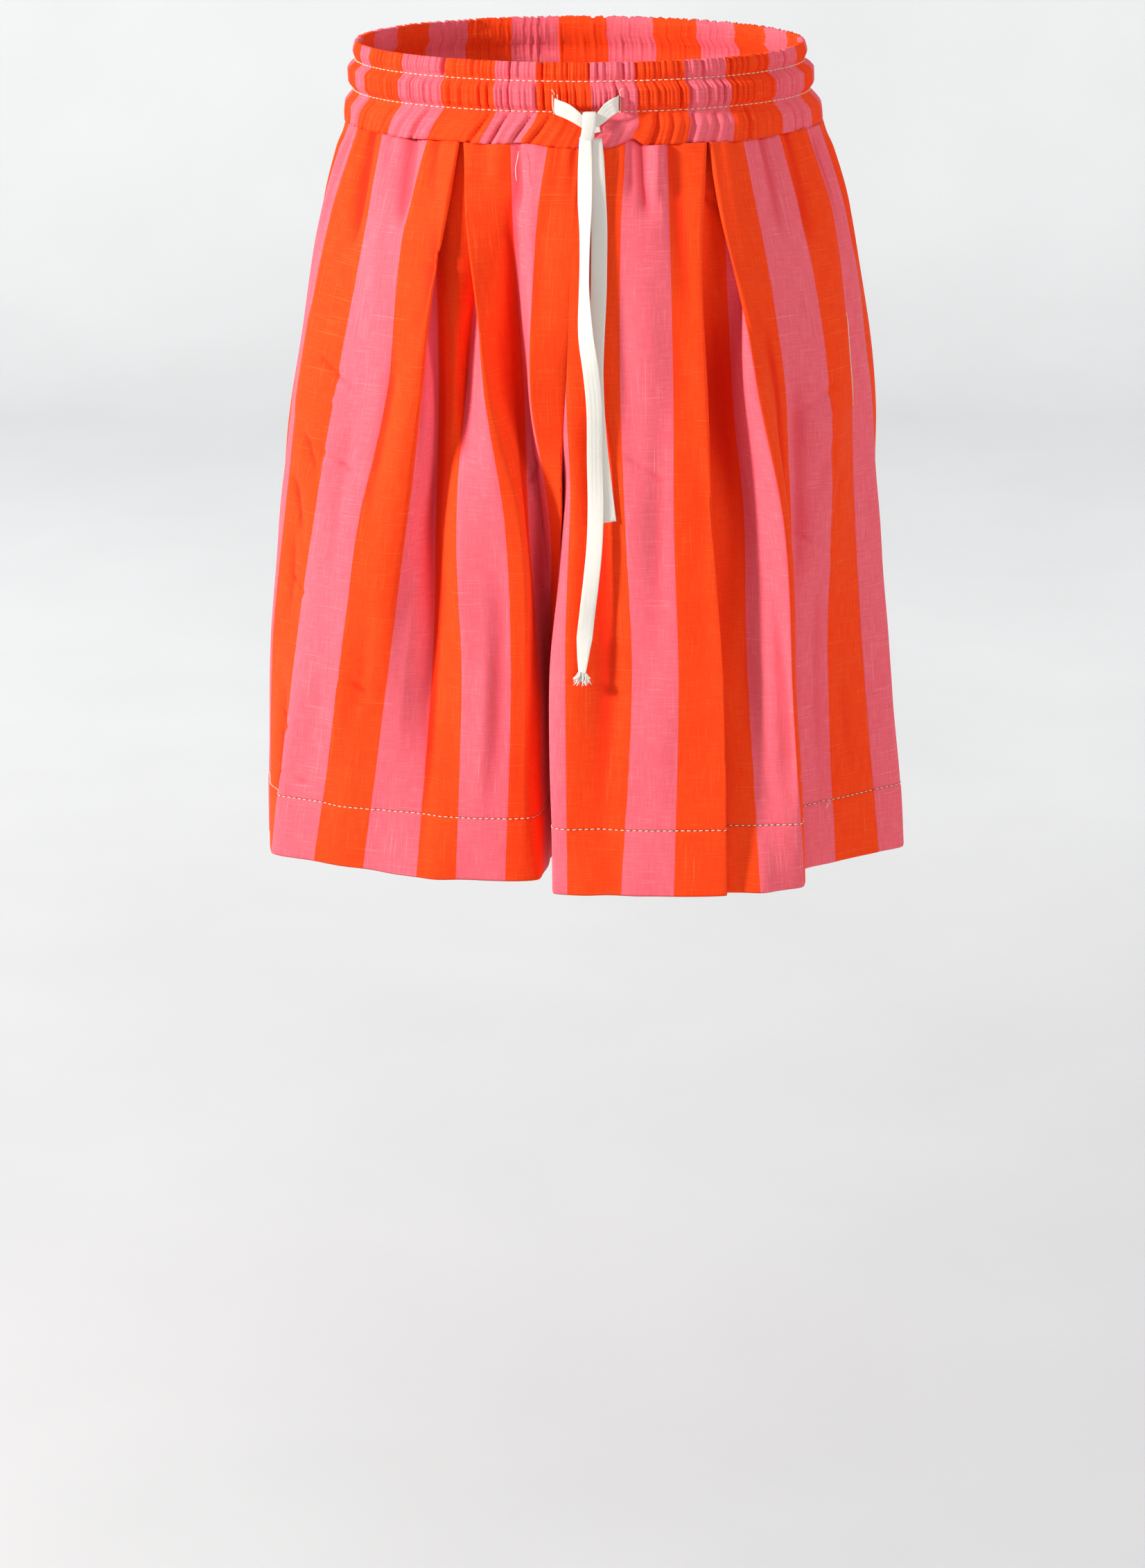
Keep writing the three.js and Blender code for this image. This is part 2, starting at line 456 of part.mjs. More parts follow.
// Cuts upright slots through a wall.
async function withSlots(geometry, slots) {
  const wasm = await Module();
  wasm.setup();
  const solidOf = (g) => {
    g.deleteAttribute("normal");
    g.deleteAttribute("uv");
    const merged = mergeVertices(g, 1e-4);
    return new wasm.Manifold(new wasm.Mesh({
      numProp: 3,
      vertProperties: new Float32Array(merged.attributes.position.array),
      triVerts: new Uint32Array(merged.index.array),
    }));
  };
  const cut = slots.reduce((body, slot) => body.subtract(solidOf(slot)), solidOf(geometry)).getMesh();
  return new THREE.BufferGeometry()
    .setAttribute("position", new THREE.Float32BufferAttribute(cut.vertProperties, 3))
    .setIndex(new THREE.BufferAttribute(cut.triVerts, 1));
}

function slotGeometry(x) {
  return new THREE.BoxGeometry(HOLE.wide, HOLE.deep, HOLE.tall).translate(x, -BAND[4].front, HOLE.z);
}

// A flat tape along a route, its width held close to the given direction.
function tapeGeometry(route, across) {
  const points = route.map((p) => new THREE.Vector3(p.x, p.y, p.z));
  const line = new THREE.CatmullRomCurve3(points, false, "centripetal");
  const stations = route.map((_, j) => j / (route.length - 1));
  const widths = route.map((p) => p.width ?? TAPE.width);
  const steps = Math.max(6, Math.round(line.getLength() / TAPE.step));
  const loops = [];
  for (let k = 0; k <= steps; k++) {
    const t = k / steps;
    const along = line.getTangent(t);
    const wide = across.clone().addScaledVector(along, -across.dot(along)).normalize();
    const thick = new THREE.Vector3().crossVectors(along, wide).normalize();
    const width = smoothAt(stations, widths, t);
    const corner = (a, b) => line.getPoint(t)
      .addScaledVector(wide, (a * width) / 2)
      .addScaledVector(thick, (b * TAPE.thick) / 2);
    loops.push([corner(-1, -1), corner(-1, 1), corner(1, 1), corner(1, -1)]);
  }
  return closedLoops(loops, false);
}

function knotGeometry() {
  const { x, y, z, wide, tall, deep } = KNOT;
  return new THREE.SphereGeometry(0.5, 14, 10).scale(wide, deep, tall).translate(x, y, z);
}

const shorts = new THREE.Group();
function addPiece(name, geometry, material) {
  const mesh = new THREE.Mesh(geometry, material);
  mesh.name = name;
  shorts.add(mesh);
}

const SIDE_RIGHT = sideSeam(FRONT_RIGHT);
const SIDE_LEFT = sideSeam(FRONT_LEFT);
function sideSeam(rows) {
  const { x, y } = rows.at(-1);
  return { z: LEVELS, x, y };
}
const FRONT = { isFront: true, fork: FRONT_FORK, width: FRONT_WIDTH };
const BACK = { isFront: false, fork: BACK_FORK, width: BACK_WIDTH, relief: gathers };
const RIGHT = { hand: 1, inseam: INSEAM_RIGHT, side: SIDE_RIGHT };
const LEFT = { hand: -1, inseam: INSEAM_LEFT, side: SIDE_LEFT };
// turn: +1 where the flat runs anticlockwise seen from above, -1 where it runs clockwise.
const PANELS = {
  front_right: {
    ...FRONT, ...RIGHT, rows: FRONT_RIGHT, turn: 1, partner: "front_left", relief: puckers(PUCKERS_RIGHT),
  },
  front_left: {
    ...FRONT, ...LEFT, rows: FRONT_LEFT, turn: -1, partner: "front_right", relief: puckers(PUCKERS_LEFT),
  },
  back_right: { ...BACK, ...RIGHT, rows: BACK_RIGHT, turn: -1, partner: "back_left" },
  back_left: { ...BACK, ...LEFT, rows: BACK_LEFT, turn: 1, partner: "back_right" },
};
const COLOURS = { front_right: ORANGE, front_left: PINK, back_right: PINK, back_left: ORANGE };
for (const [name, panel] of Object.entries(PANELS)) addPiece(name, panelGeometry(panel), COLOURS[name]);
addPiece("pocket_facing_right", pocketGeometry(PANELS.front_right), PINK);
addPiece("pocket_facing_left", pocketGeometry(PANELS.front_left), ORANGE);
addPiece("waistband", await withSlots(bandGeometry(), [HOLE.left, HOLE.right].map(slotGeometry)), PINK);

const UPRIGHT = new THREE.Vector3(0, 0, 1);
const SIDEWAYS = new THREE.Vector3(1, 0, 0);
addPiece("drawstring_bridge_left", tapeGeometry(BRIDGE_LEFT, UPRIGHT), COTTON);
addPiece("drawstring_bridge_right", tapeGeometry(BRIDGE_RIGHT, UPRIGHT), COTTON);
addPiece("drawstring_knot", knotGeometry(), COTTON);
addPiece("drawstring_tail_long", tapeGeometry(TAIL_LONG, SIDEWAYS), COTTON);
addPiece("drawstring_tail_short", tapeGeometry(TAIL_SHORT, SIDEWAYS), COTTON);

export default shorts;
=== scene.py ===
"""Striped linen bermuda shorts with a gathered drawstring waistband, in the form that they have when worn.

The cloth pieces are thin shells over the frame's solids. Each panel is a surface over two parameters, the
distance along the flat cloth and the height, and each piece of tape is a profile carried along a path.
Tables and sizes are in millimetres and degrees, and a mesh is put into metres when it is made.
Left and right are those of whoever looks at the front, which faces -Y.
"""

import bpy
import numpy as np
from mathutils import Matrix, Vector


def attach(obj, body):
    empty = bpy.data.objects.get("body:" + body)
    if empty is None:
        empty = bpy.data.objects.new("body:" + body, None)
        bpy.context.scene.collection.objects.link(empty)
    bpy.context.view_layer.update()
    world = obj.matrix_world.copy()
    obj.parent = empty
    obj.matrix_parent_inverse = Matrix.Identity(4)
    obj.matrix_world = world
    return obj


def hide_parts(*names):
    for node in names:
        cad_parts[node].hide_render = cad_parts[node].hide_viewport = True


bl_info = {
    "name": "Striped linen shorts",
    "version": (1, 0, 0),
    "blender": (4, 5, 0),
    "location": "3D View > Sidebar > Shorts",
    "description": "Dresses the frame of a pair of bermuda shorts in striped linen with a cotton drawstring",
    "category": "Object",
}

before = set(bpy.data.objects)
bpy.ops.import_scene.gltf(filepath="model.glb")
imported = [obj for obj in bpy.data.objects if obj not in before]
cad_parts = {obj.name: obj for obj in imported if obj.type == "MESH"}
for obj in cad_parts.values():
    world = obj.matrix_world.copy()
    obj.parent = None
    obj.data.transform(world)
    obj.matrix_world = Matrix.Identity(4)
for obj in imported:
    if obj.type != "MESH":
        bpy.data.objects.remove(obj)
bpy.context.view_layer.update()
MM = 0.001

# Heights of the sections that the grain line tables give, from the waist seam down to the fold of the hem
LEVELS = [-31, -90, -194, -290, -400, -557]
WAIST_SEAM = -31
FORK = -290
HEM_FOLD = -557
FRONT_WIDTH = 313
FRONT_FORK = 70
BACK_WIDTH = 326
BACK_FORK = 120

# Grain lines of each panel: distance on the flat cloth from the middle, then x and y at each height
FRONT_RIGHT = [
    (-70, [1, -4, -10.5, -11.5, -9, -10], [-112, -120, -100, -56, -66, -74]),
    (-14, [0, -5, -11, -12, -20.5, -19], [-112, -121, -121, -112, -121, -127]),
    (0, [-1, -6, -7, -5.5, -5, -5], [-112, -122, -127, -126, -130, -131]),
    (32, [29, 26, 26, 30, 35, 28], [-110.5, -121, -130, -132, -132, -132]),
    (68, [57, 59, 62, 63, 67, 65], [-105.5, -117, -128, -132, -132, -133]),
    (97, [83, 81, 84, 90, 98.5, 102.5], [-97.5, -112, -126, -131, -132, -131.5]),
    (100.5, [82.5, 80.5, 84.5, 90, 98.5, 102.5], [-94.8, -109, -122.8, -127.8, -128.8, -127.8]),
    (125, [54, 56, 74, 76, 84, 84], [-103.4, -113, -102, -112, -118, -125.5]),
    (128.5, [54.5, 57, 75, 77.5, 85.5, 85], [-100.6, -110, -98.5, -108.7, -114.8, -122]),
    (161, [84, 84, 93, 101, 105, 111], [-92, -103, -93, -104.5, -112, -125]),
    (176, [98, 97, 103, 112, 116, 126.5], [-85.8, -99, -98, -108, -113, -127]),
    (191, [112, 110, 109.5, 123, 129, 140], [-77.6, -94, -110, -118, -121, -122]),
    (194.5, [111.5, 110.5, 111, 126, 132, 143], [-80.4, -97, -113, -120, -122.5, -121]),
    (212, [94, 103, 119, 138.5, 146.5, 157.5], [-89.8, -105, -126, -128, -127, -113]),
    (220, [87, 97.5, 123, 142, 149, 158.5], [-93.4, -108.6, -123, -122, -119, -105]),
    (223.5, [86, 97, 125, 141.5, 148, 156.5], [-96, -111.6, -121, -119, -116, -102]),
    (232, [93.5, 104, 130, 136, 140, 150], [-93.2, -109, -114, -111, -107, -95]),
    (250, [110.5, 123, 140, 146, 149, 159], [-84.6, -98, -105, -100, -91.5, -78]),
    (284, [135, 152, 168.7, 174, 174.5, 183], [-66.6, -75, -86, -84, -77, -62]),
    (313, [153.4, 172.7, 185.5, 191, 199.7, 215.8], [-44.8, -52, -58, -55, -50, -41]),
]
FRONT_LEFT = [
    (-70, [-4, -8, -13.5, -12.5, -14.5, -18.5], [-112, -120, -100, -56, -6, 18]),
    (0, [-1, -7, -13, -14, -18, -20], [-112, -122, -123, -114, -62, -44]),
    (22, [-22.5, -31, -34, -21.5, -22, -21], [-111, -120.5, -128, -104, -70, -54]),
    (40, [-36, -38, -35.5, -27, -26, -24], [-108.4, -115, -108, -92, -82, -69]),
    (58, [-47.5, -45.5, -38.5, -36, -31, -27.5], [-106.2, -104.5, -102.5, -106, -96, -86]),
    (72, [-64.5, -60, -50.5, -38, -35, -31], [-101.8, -110.8, -113, -119, -109, -98]),
    (84, [-79.5, -76.5, -61.5, -42, -39, -42], [-97, -116, -127, -128, -120, -101]),
    (87.5, [-79.2, -77, -63, -45.5, -42, -46], [-94.3, -113, -128, -128.5, -120, -101.5]),
    (94, [-73, -72, -65.5, -52, -48.6, -53.8], [-96.6, -110, -128, -129, -121, -102]),
    (112, [-56, -58.5, -71, -69, -66, -71], [-102, -105.5, -114, -127.5, -120.5, -101.5]),
    (115.5, [-56.5, -60, -72.5, -72, -69, -75], [-99.2, -102.5, -111, -127, -120, -101]),
    (130, [-67, -68, -78, -84.8, -83, -89], [-96, -100.5, -100, -124, -118, -100]),
    (150, [-84, -84.5, -87, -93, -95, -104], [-90, -101.5, -110, -109, -107, -97]),
    (166, [-96, -98, -97.5, -100.3, -104, -117], [-84.6, -96, -100, -99, -99, -94]),
    (183, [-107, -111.5, -103, -109, -120, -137], [-77.4, -91.5, -111, -110, -107, -86]),
    (186.5, [-106.5, -111, -104, -111, -123, -140.5], [-80.4, -94.5, -113.5, -112, -108.5, -84]),
    (208.5, [-84.5, -95, -110, -124, -140, -163], [-92, -106, -126, -121, -111, -74]),
    (212, [-82.8, -94, -113, -127, -144, -167], [-95.4, -109, -126, -121, -110.5, -72.5]),
    (238, [-104, -120, -132, -153, -168, -192], [-85.6, -93, -112, -109, -99, -60]),
    (274, [-132.5, -146, -166.8, -184.5, -202, -224], [-63.5, -71, -92, -90, -76, -42]),
    (310, [-152, -171.5, -193, -206, -219, -227], [-37, -36, -60, -58, -44, -8]),
    (313, [-153, -173, -194, -207, -220, -227], [-35, -33, -57, -55, -41, -5]),
]
BACK_RIGHT = [
    (-120, [3, 3, -5, -11.5, -9, -10], [118, 124, 60, -56, -66, -74]),
    (-65, [3, 3, -1, -7, -4, -5], [118, 124, 100, 0, -10, -26]),
    (-10, [2, 2, 1, -1, 1, 0], [118, 124, 116, 58, 45, 22]),
    (30, [30, 31, 33, 14, 18, 16], [116.4, 122.5, 123, 98, 80, 54]),
    (75, [67, 72, 80, 52, 58, 58], [108.4, 115, 121, 116, 96, 60]),
    (120, [103, 112, 123, 99, 105, 104], [93.5, 98, 106, 113, 88, 72]),
    (170, [136.5, 149, 164, 147, 156, 158], [68.5, 71, 79, 94, 80, 58]),
    (220, [160, 175.5, 194, 189, 201, 209], [33.5, 35, 38, 55, 40, 36]),
    (265, [167, 185.5, 205, 209, 222, 234], [-1, -2, -2, 8, -4, -4]),
    (300, [162, 181.5, 201, 210, 220, 235], [-28, -32, -36, -28, -31, -27]),
    (326, [153.4, 172.7, 185.5, 191, 199.7, 215.8], [-44.8, -52, -58, -55, -50, -41]),
]
BACK_LEFT = [
    (-120, [1, 1, -9, -12.5, -14.5, -18.5], [118, 124, 60, -56, -6, 18]),
    (-65, [1, 1, -5, -17, -20, -19], [118, 124, 100, 0, 46, 68]),
    (-10, [2, 2, 0, -18, -30, -38], [118, 124, 116, 60, 90, 97]),
    (30, [-21, -22, -30, -34, -62, -72], [116.4, 122.5, 123, 100, 100, 84]),
    (75, [-58.5, -63, -73, -71, -92, -98], [108.4, 115, 121, 116, 120, 110]),
    (120, [-94.5, -103, -113, -114, -126, -136], [93.5, 98, 106, 110, 98, 98]),
    (170, [-128.5, -140, -153, -158, -166, -172], [68.5, 71, 80, 86, 96, 104]),
    (220, [-153, -166, -184, -194, -203, -209], [33.5, 36, 42, 46, 55, 66]),
    (265, [-162.5, -178, -195, -209, -218, -226], [3, 4, 4, 2, 14, 28]),
    (300, [-158.5, -177, -198, -211, -221, -229], [-20, -18, -32, -31, -16, 8]),
    (326, [-153, -173, -194, -207, -220, -227], [-35, -33, -57, -55, -41, -5]),
]
INSEAM_HEIGHTS = [-290, -312, -400, -557]
INSEAM_RIGHT = ([-11.25, -9.6, -9, -10], [-56, -58, -66, -74])
INSEAM_LEFT = ([-12.75, -13, -14.5, -18.5], [-56, -46, -6, 18])
GROWTH_HEIGHTS = [-31, -150, -194, -235, -268, -290]
GROWTH_SHARE = [0, 0, 0.1, 0.28, 0.6, 1]
SPREAD_FROM = -170
SPREAD_TO = -225
FORK_SPREAD = 0.15
SEAM_PULL = 24
ORANGE_STARTS = {"front_right": -4, "front_left": -14, "back_right": 46, "back_left": 46}

# Creases on each panel: flat and height of both ends, half width and depth (minus is a ridge). One
# factor draws out all the depths
CREASE_FACTOR = 1.9
CREASES = {
    "front_right": [
        (46, -31, 52, -84, 6, 3.0), (60, -31, 57, -70, 5, -1.8), (36, -31, 40, -74, 5, 1.4),
        (268, -31, 262, -112, 8, 2.2), (250, -31, 246, -100, 6, 0.3), (290, -31, 286, -120, 7, 1.8),
        (74, -40, 80, -170, 7, 1.0), (30, -120, 44, -300, 8, 0.9), (60, -180, 50, -420, 9, 0.9),
        (84, -210, 78, -470, 8, 1.1), (236, -140, 240, -300, 6, 1.3), (262, -170, 256, -380, 8, 1.5),
        (284, -235, 268, -285, 6, 1.4), (300, -250, 282, -330, 5, 1.1), (272, -300, 276, -520, 9, 1.3),
        (18, -150, 16, -548, 9, 3.2), (-6, -260, -6, -545, 7, -1.2), (296, -380, 300, -545, 7, 1.2),
        (300, -196, 256, -220, 5, 1.1), (292, -214, 262, -232, 4, -0.8), (252, -300, 292, -326, 5, 0.9),
        (150, -60, 186, -86, 5, 0.8), (30, -236, 66, -262, 6, 0.9), (212, -470, 252, -492, 6, 0.8),
        (120, -140, 112, -420, 7, 1.2), (206, -120, 196, -330, 6, -1.0), (200, -330, 208, -540, 7, 1.4),
    ],
    "front_left": [
        (62, -45, 65, -420, 5, 1.3),
        (52, -31, 48, -80, 7, 2.2), (66, -31, 68, -62, 5, -1.4), (250, -31, 242, -96, 7, 3.2),
        (292, -31, 284, -118, 7, 2.8), (272, -31, 266, -90, 6, -1.8), (232, -31, 224, -84, 5, 1.4),
        (20, -60, 14, -170, 7, 1.0), (238, -150, 232, -330, 9, 1.4), (262, -190, 252, -400, 8, 1.2),
        (298, -230, 276, -270, 6, 2.0), (304, -262, 284, -318, 6, 1.7), (296, -300, 290, -380, 6, 1.2),
        (222, -320, 226, -520, 9, 1.3), (252, -380, 256, -545, 9, 1.2), (286, -400, 280, -540, 8, 1.4),
        (302, -176, 252, -206, 5, 1.4), (296, -196, 250, -222, 4, -1.0), (288, -240, 240, -262, 5, 1.2),
        (300, -338, 256, -356, 5, 1.1), (246, -400, 206, -424, 6, 0.9), (190, -90, 226, -118, 5, 0.9),
        (296, -440, 262, -462, 5, 1.2), (282, -486, 232, -500, 6, 1.0), (30, -246, 62, -270, 6, 0.9),
        (224, -60, 216, -210, 7, 1.2), (262, -70, 250, -190, 7, -1.1), (240, -330, 232, -480, 7, -1.0),
        (268, -430, 274, -548, 7, -1.3), (210, -400, 214, -548, 8, 1.2), (112, -350, 118, -540, 6, -0.9),
        (196, -120, 196, -280, 5, 0.9), (100, -300, 104, -520, 7, 0.9), (138, -330, 136, -545, 8, 0.9),
    ],
    "back_right": [
        (40, -60, 44, -190, 9, 1.3), (150, -80, 146, -260, 10, 1.5), (246, -70, 240, -250, 9, 1.6),
        (20, -215, 70, -285, 8, 2.0), (8, -245, 66, -330, 9, 2.2), (100, -300, 92, -520, 12, 2.4),
        (190, -280, 200, -540, 13, 2.6), (262, -240, 268, -500, 10, 1.6), (140, -380, 144, -550, 10, -1.8),
        (300, -120, 294, -330, 8, 1.4), (48, -340, 52, -545, 9, 1.6),
    ],
    "back_left": [
        (56, -60, 50, -200, 9, 1.4), (134, -70, 138, -240, 9, 1.3), (232, -80, 228, -270, 10, 1.6),
        (14, -225, 62, -292, 8, 2.1), (10, -262, 58, -350, 9, 1.9), (88, -290, 98, -530, 12, 2.2),
        (178, -300, 170, -545, 13, 2.4), (250, -250, 246, -520, 10, 1.8), (214, -380, 210, -550, 9, -1.6),
        (302, -100, 298, -300, 8, 1.5), (128, -360, 120, -548, 9, 1.5),
    ],
}

# Waistband: rings from the seam up, with the half widths to the sides, front and back
BAND_HEIGHTS = [-31, -19, -9, -3.5, 5, 11, 17, 23.4]
BAND_SIDE = [165, 163.8, 157.6, 160, 160, 154.6, 155.6, 153.8]
BAND_FRONT = [112, 111.6, 105.8, 108.6, 108.6, 103.8, 105, 103.8]
BAND_BACK = [118, 117.6, 111.8, 114.6, 114.6, 109.8, 111, 109.8]
BAND_MIDDLE = [1.8, 1.2, 0.2, 0, -0.3, -1, -1, -1]
BAND_WALL = 3.0
ROW_HIGH = 11
ROW_LOW = -9
# Where one stripe of the waistband gives way to the next, in degrees round from the front. The first one
# starts an orange stripe, and the stripes round the back are all the same width
BAND_EDGES = [-84, -74.4, -66.3, -50.4, -36.1, -21.4, -11, 2.3, 13.6, 26.6, 38.7, 55.2, 71, 82.3]
BACK_STRIPES = 15
# How far the stripes lean to the left between the lower stitching and the seam
LEAN_ANGLES = [-180, -90, -60, -20, 0, 15, 30, 60, 90, 180]
LEAN = [0, 8, 10, 11, 12, 6, 5, 2, 0, 0]
# Rise and fall of the waist seam
SEAM_ANGLES = [
    -180, -140, -100, -75, -60, -45, -30, -22, -16, -11, -5, 3,
    9, 13.5, 17.5, 21, 26, 36, 50, 70, 100, 140, 180,
]
SEAM_LIFT = [
    0, 0.8, -0.6, 0.4, -0.6, 0.6, 0, 1.6, 0.8, -0.8, -1.6, -1.2,
    -1.4, 1.6, 4.6, 0.6, 0, 0.7, -0.6, 0.6, -0.8, 0.8, 0,
]
SEAM_FADE = 26

# Drawstring: the tails' routes in metres, and how far the tape is turned from facing the front at each point
TAIL_LONG = [
    (0.0026, -0.1185, -0.0239), (0.0024, -0.1214, -0.045), (0.0023, -0.124, -0.066), (0.0023, -0.126, -0.085),
    (0.002, -0.1288, -0.106), (0.0018, -0.1314, -0.128), (0.003, -0.134, -0.155), (0.0065, -0.1362, -0.18),
    (0.0088, -0.1368, -0.205), (0.0092, -0.1366, -0.24), (0.0098, -0.1366, -0.272), (0.009, -0.1364, -0.3),
    (0.0068, -0.136, -0.325), (0.004, -0.1358, -0.35), (0.0018, -0.1356, -0.372), (0.0006, -0.1356, -0.392),
]
TAIL_LONG_TURN = [8, 12, 30, 48, 55, 50, 22, 0, -8, -10, 4, 10, 2, -8, 4, 12]
TAIL_SHORT = [
    (0.0096, -0.1162, -0.025), (0.0102, -0.118, -0.035), (0.0106, -0.1196, -0.045), (0.0112, -0.1217, -0.064),
    (0.0118, -0.1238, -0.085), (0.0117, -0.1259, -0.106), (0.0114, -0.128, -0.128), (0.0102, -0.1308, -0.155),
    (0.0094, -0.1326, -0.18), (0.0102, -0.1336, -0.205), (0.0113, -0.1339, -0.22), (0.0126, -0.1342, -0.235),
    (0.0142, -0.1344, -0.248), (0.0158, -0.1346, -0.262), (0.0171, -0.1346, -0.273),
    (0.0184, -0.1346, -0.284),
]
TAIL_SHORT_TURN = [-6, -8, -8, -4, 0, 0, 4, 6, 4, 0, -4, -8, -8, -6, -4, -2]
BRIDGE_LEFT = [
    (-17.5, -104.6, -4.5, 0), (-17.4, -109.8, -4.5, 0), (-15.8, -112.4, -5.0, 0), (-10, -113.8, -7.2, 0),
    (-3, -115.2, -11.5, 0), (2.4, -115.8, -15.6, 0),
]
BRIDGE_RIGHT = [
    (24.4, -104.6, -3, 0), (24.3, -109.6, -3, 0), (22.6, -112.2, -3.4, 0), (18, -113.6, -6.4, 0),
    (13.2, -114.8, -11, 0), (8.6, -115.6, -15.2, 0),
]
KNOT_WRAP = [
    (8.4, -113.6, -22, 10), (6.6, -113.2, -13, 4), (5.4, -115.2, -8.4, 0), (5.2, -118.2, -9.6, -4),
    (5.0, -119.6, -15.5, -6), (4.2, -119.4, -21, -4), (3.2, -118.8, -25, 0),
]
TAPE_WIDTH = 11
TAPE_THICK = 0.9
# Buttonholes: x and height of each, and half their height
HOLES = [(-17.5, -3.6), (24.4, -3.0)]
HOLE_HALF = 6.6

# Side-seam pockets: both ends of each opening
POCKET_TOP = -148
POCKET_BOTTOM = -230
# How far each opening's edge stands back from the seam and out from the body: a wide one and a flat one
POCKET_SPREAD = {1: 4.6, -1: 2.2}
POCKET_GAPE = {1: 3.4, -1: 1.0}


class ShortsSizes(bpy.types.PropertyGroup):
    """Sizes and colours of the shorts that a maker would change."""

    stripe: bpy.props.FloatProperty(
        name="Stripe", description="Width of one stripe", default=0.036, unit="LENGTH"
    )
    cloth: bpy.props.FloatProperty(
        name="Cloth", description="Thickness of one layer", default=0.001, unit="LENGTH"
    )
    hem: bpy.props.FloatProperty(
        name="Hem", description="From the fold of the hem up to its stitching", default=0.049, unit="LENGTH"
    )
    stitch: bpy.props.FloatProperty(
        name="Stitch", description="Length of one stitch", default=0.0032, unit="LENGTH"
    )
    tucks: bpy.props.IntProperty(
        name="Tucks", description="Tucks round the heading of the waistband", default=160
    )
    orange: bpy.props.FloatVectorProperty(
        name="Orange", description="Orange yarn", subtype="COLOR", size=3, default=(0.95, 0.049, 0.003)
    )
    pink: bpy.props.FloatVectorProperty(
        name="Pink", description="Pink yarn", subtype="COLOR", size=3, default=(0.86, 0.115, 0.155)
    )
    cotton: bpy.props.FloatVectorProperty(
        name="Cotton", description="Undyed cotton tape", subtype="COLOR", size=3, default=(0.93, 0.89, 0.81)
    )


# Surfaces


def ease(v):
    """Zero below 0, one above 1, and the cubic 3v^2 - 2v^3 between."""
    v = np.clip(v, 0, 1)
    return v * v * (3 - 2 * v)


def smooth_at(stations, values, at):
    """Cubic through the stations, each slope that of its neighbours' chord, level past both ends."""
    s = np.asarray(stations, float)
    v = np.asarray(values, float)
    at = np.asarray(at, float)
    if s[-1] < s[0]:
        s, at = -s, -at
    order = np.arange(len(s))
    low, high = np.maximum(order - 1, 0), np.minimum(order + 1, len(s) - 1)
    slope = (v[..., high] - v[..., low]) / (s[high] - s[low])
    i = np.clip(np.searchsorted(s, at, side="right") - 1, 0, len(s) - 2)
    span = s[i + 1] - s[i]
    f = np.clip((at - s[i]) / span, 0, 1)
    f2, f3 = f * f, f * f * f
    start = v[..., i] * (2 * f3 - 3 * f2 + 1) + slope[..., i] * span * (f3 - 2 * f2 + f)
    return start + v[..., i + 1] * (3 * f2 - 2 * f3) + slope[..., i + 1] * span * (f3 - f2)


def bent_at(stations, values, at):
    """Cubic that never passes its stations' values: each slope is the harmonic mean of the two chords beside
    it, or zero at a turn, and the line runs on straight past both ends. One row of values for each row of
    places."""
    h = np.diff(stations)
    chord = np.diff(values, axis=1) / h
    before, after = chord[:, :-1], chord[:, 1:]
    same = before * after > 0
    w1, w2 = 2 * h[1:] + h[:-1], h[1:] + 2 * h[:-1]
    mean = (w1 + w2) / (w1 / np.where(same, before, 1) + w2 / np.where(same, after, 1))
    slope = np.concatenate([chord[:, :1], np.where(same, mean, 0), chord[:, -1:]], axis=1)
    i = np.clip(np.searchsorted(stations, at, side="right") - 1, 0, len(stations) - 2)
    span = h[i]
    raw = (at - stations[i]) / span
    f = np.clip(raw, 0, 1)
    f2, f3 = f * f, f * f * f
    left, right = np.take_along_axis(values, i, 1), np.take_along_axis(values, i + 1, 1)
    m0, m1 = np.take_along_axis(slope, i, 1), np.take_along_axis(slope, i + 1, 1)
    inside = left * (2 * f3 - 3 * f2 + 1) + m0 * span * (f3 - 2 * f2 + f)
    inside = inside + right * (3 * f2 - 2 * f3) + m1 * span * (f3 - f2)
    return inside + np.where(raw < 0, m0, m1) * span * (raw - f)


# Places and weights of the average that rounds each fold
TAPS = np.linspace(-2.4, 2.4, 7)
TAP_WEIGHTS = (2.8 - np.abs(TAPS)) / np.sum(2.8 - np.abs(TAPS))


def section_at(rows, flats, heights):
    """x and y of the grain lines at each height, joined along the flat by the bent cubic, then averaged over
    a few millimetres of cloth. flats has a row for each height."""
    stations = np.array([row[0] for row in rows], float)
    found = []
    for column in (1, 2):
        values = smooth_at(LEVELS, np.array([row[column] for row in rows], float), heights).T
        found.append(sum(w * bent_at(stations, values, flats + k) for k, w in zip(TAPS, TAP_WEIGHTS)))
    return np.stack(found, axis=-1)


# Each panel's table, width on the flat and growth at the fork, whether it is a front, the side of x that it
# is on, the way that its surface's two directions turn, and the panel that it meets at the middle
PANELS = {
    "front_right": dict(
        rows=FRONT_RIGHT, width=FRONT_WIDTH, fork=FRONT_FORK, front=True,
        hand=1, turn=1, partner="front_left",
    ),
    "front_left": dict(
        rows=FRONT_LEFT, width=FRONT_WIDTH, fork=FRONT_FORK, front=True,
        hand=-1, turn=-1, partner="front_right",
    ),
    "back_right": dict(
        rows=BACK_RIGHT, width=BACK_WIDTH, fork=BACK_FORK, front=False,
        hand=1, turn=-1, partner="back_left",
    ),
    "back_left": dict(
        rows=BACK_LEFT, width=BACK_WIDTH, fork=BACK_FORK, front=False,
        hand=-1, turn=1, partner="back_right",
    ),
}


def start_of(panel, heights):
    """How far a panel's inner edge has grown past the middle at each height."""
    return -panel["fork"] * smooth_at(GROWTH_HEIGHTS, GROWTH_SHARE, np.maximum(heights, FORK))


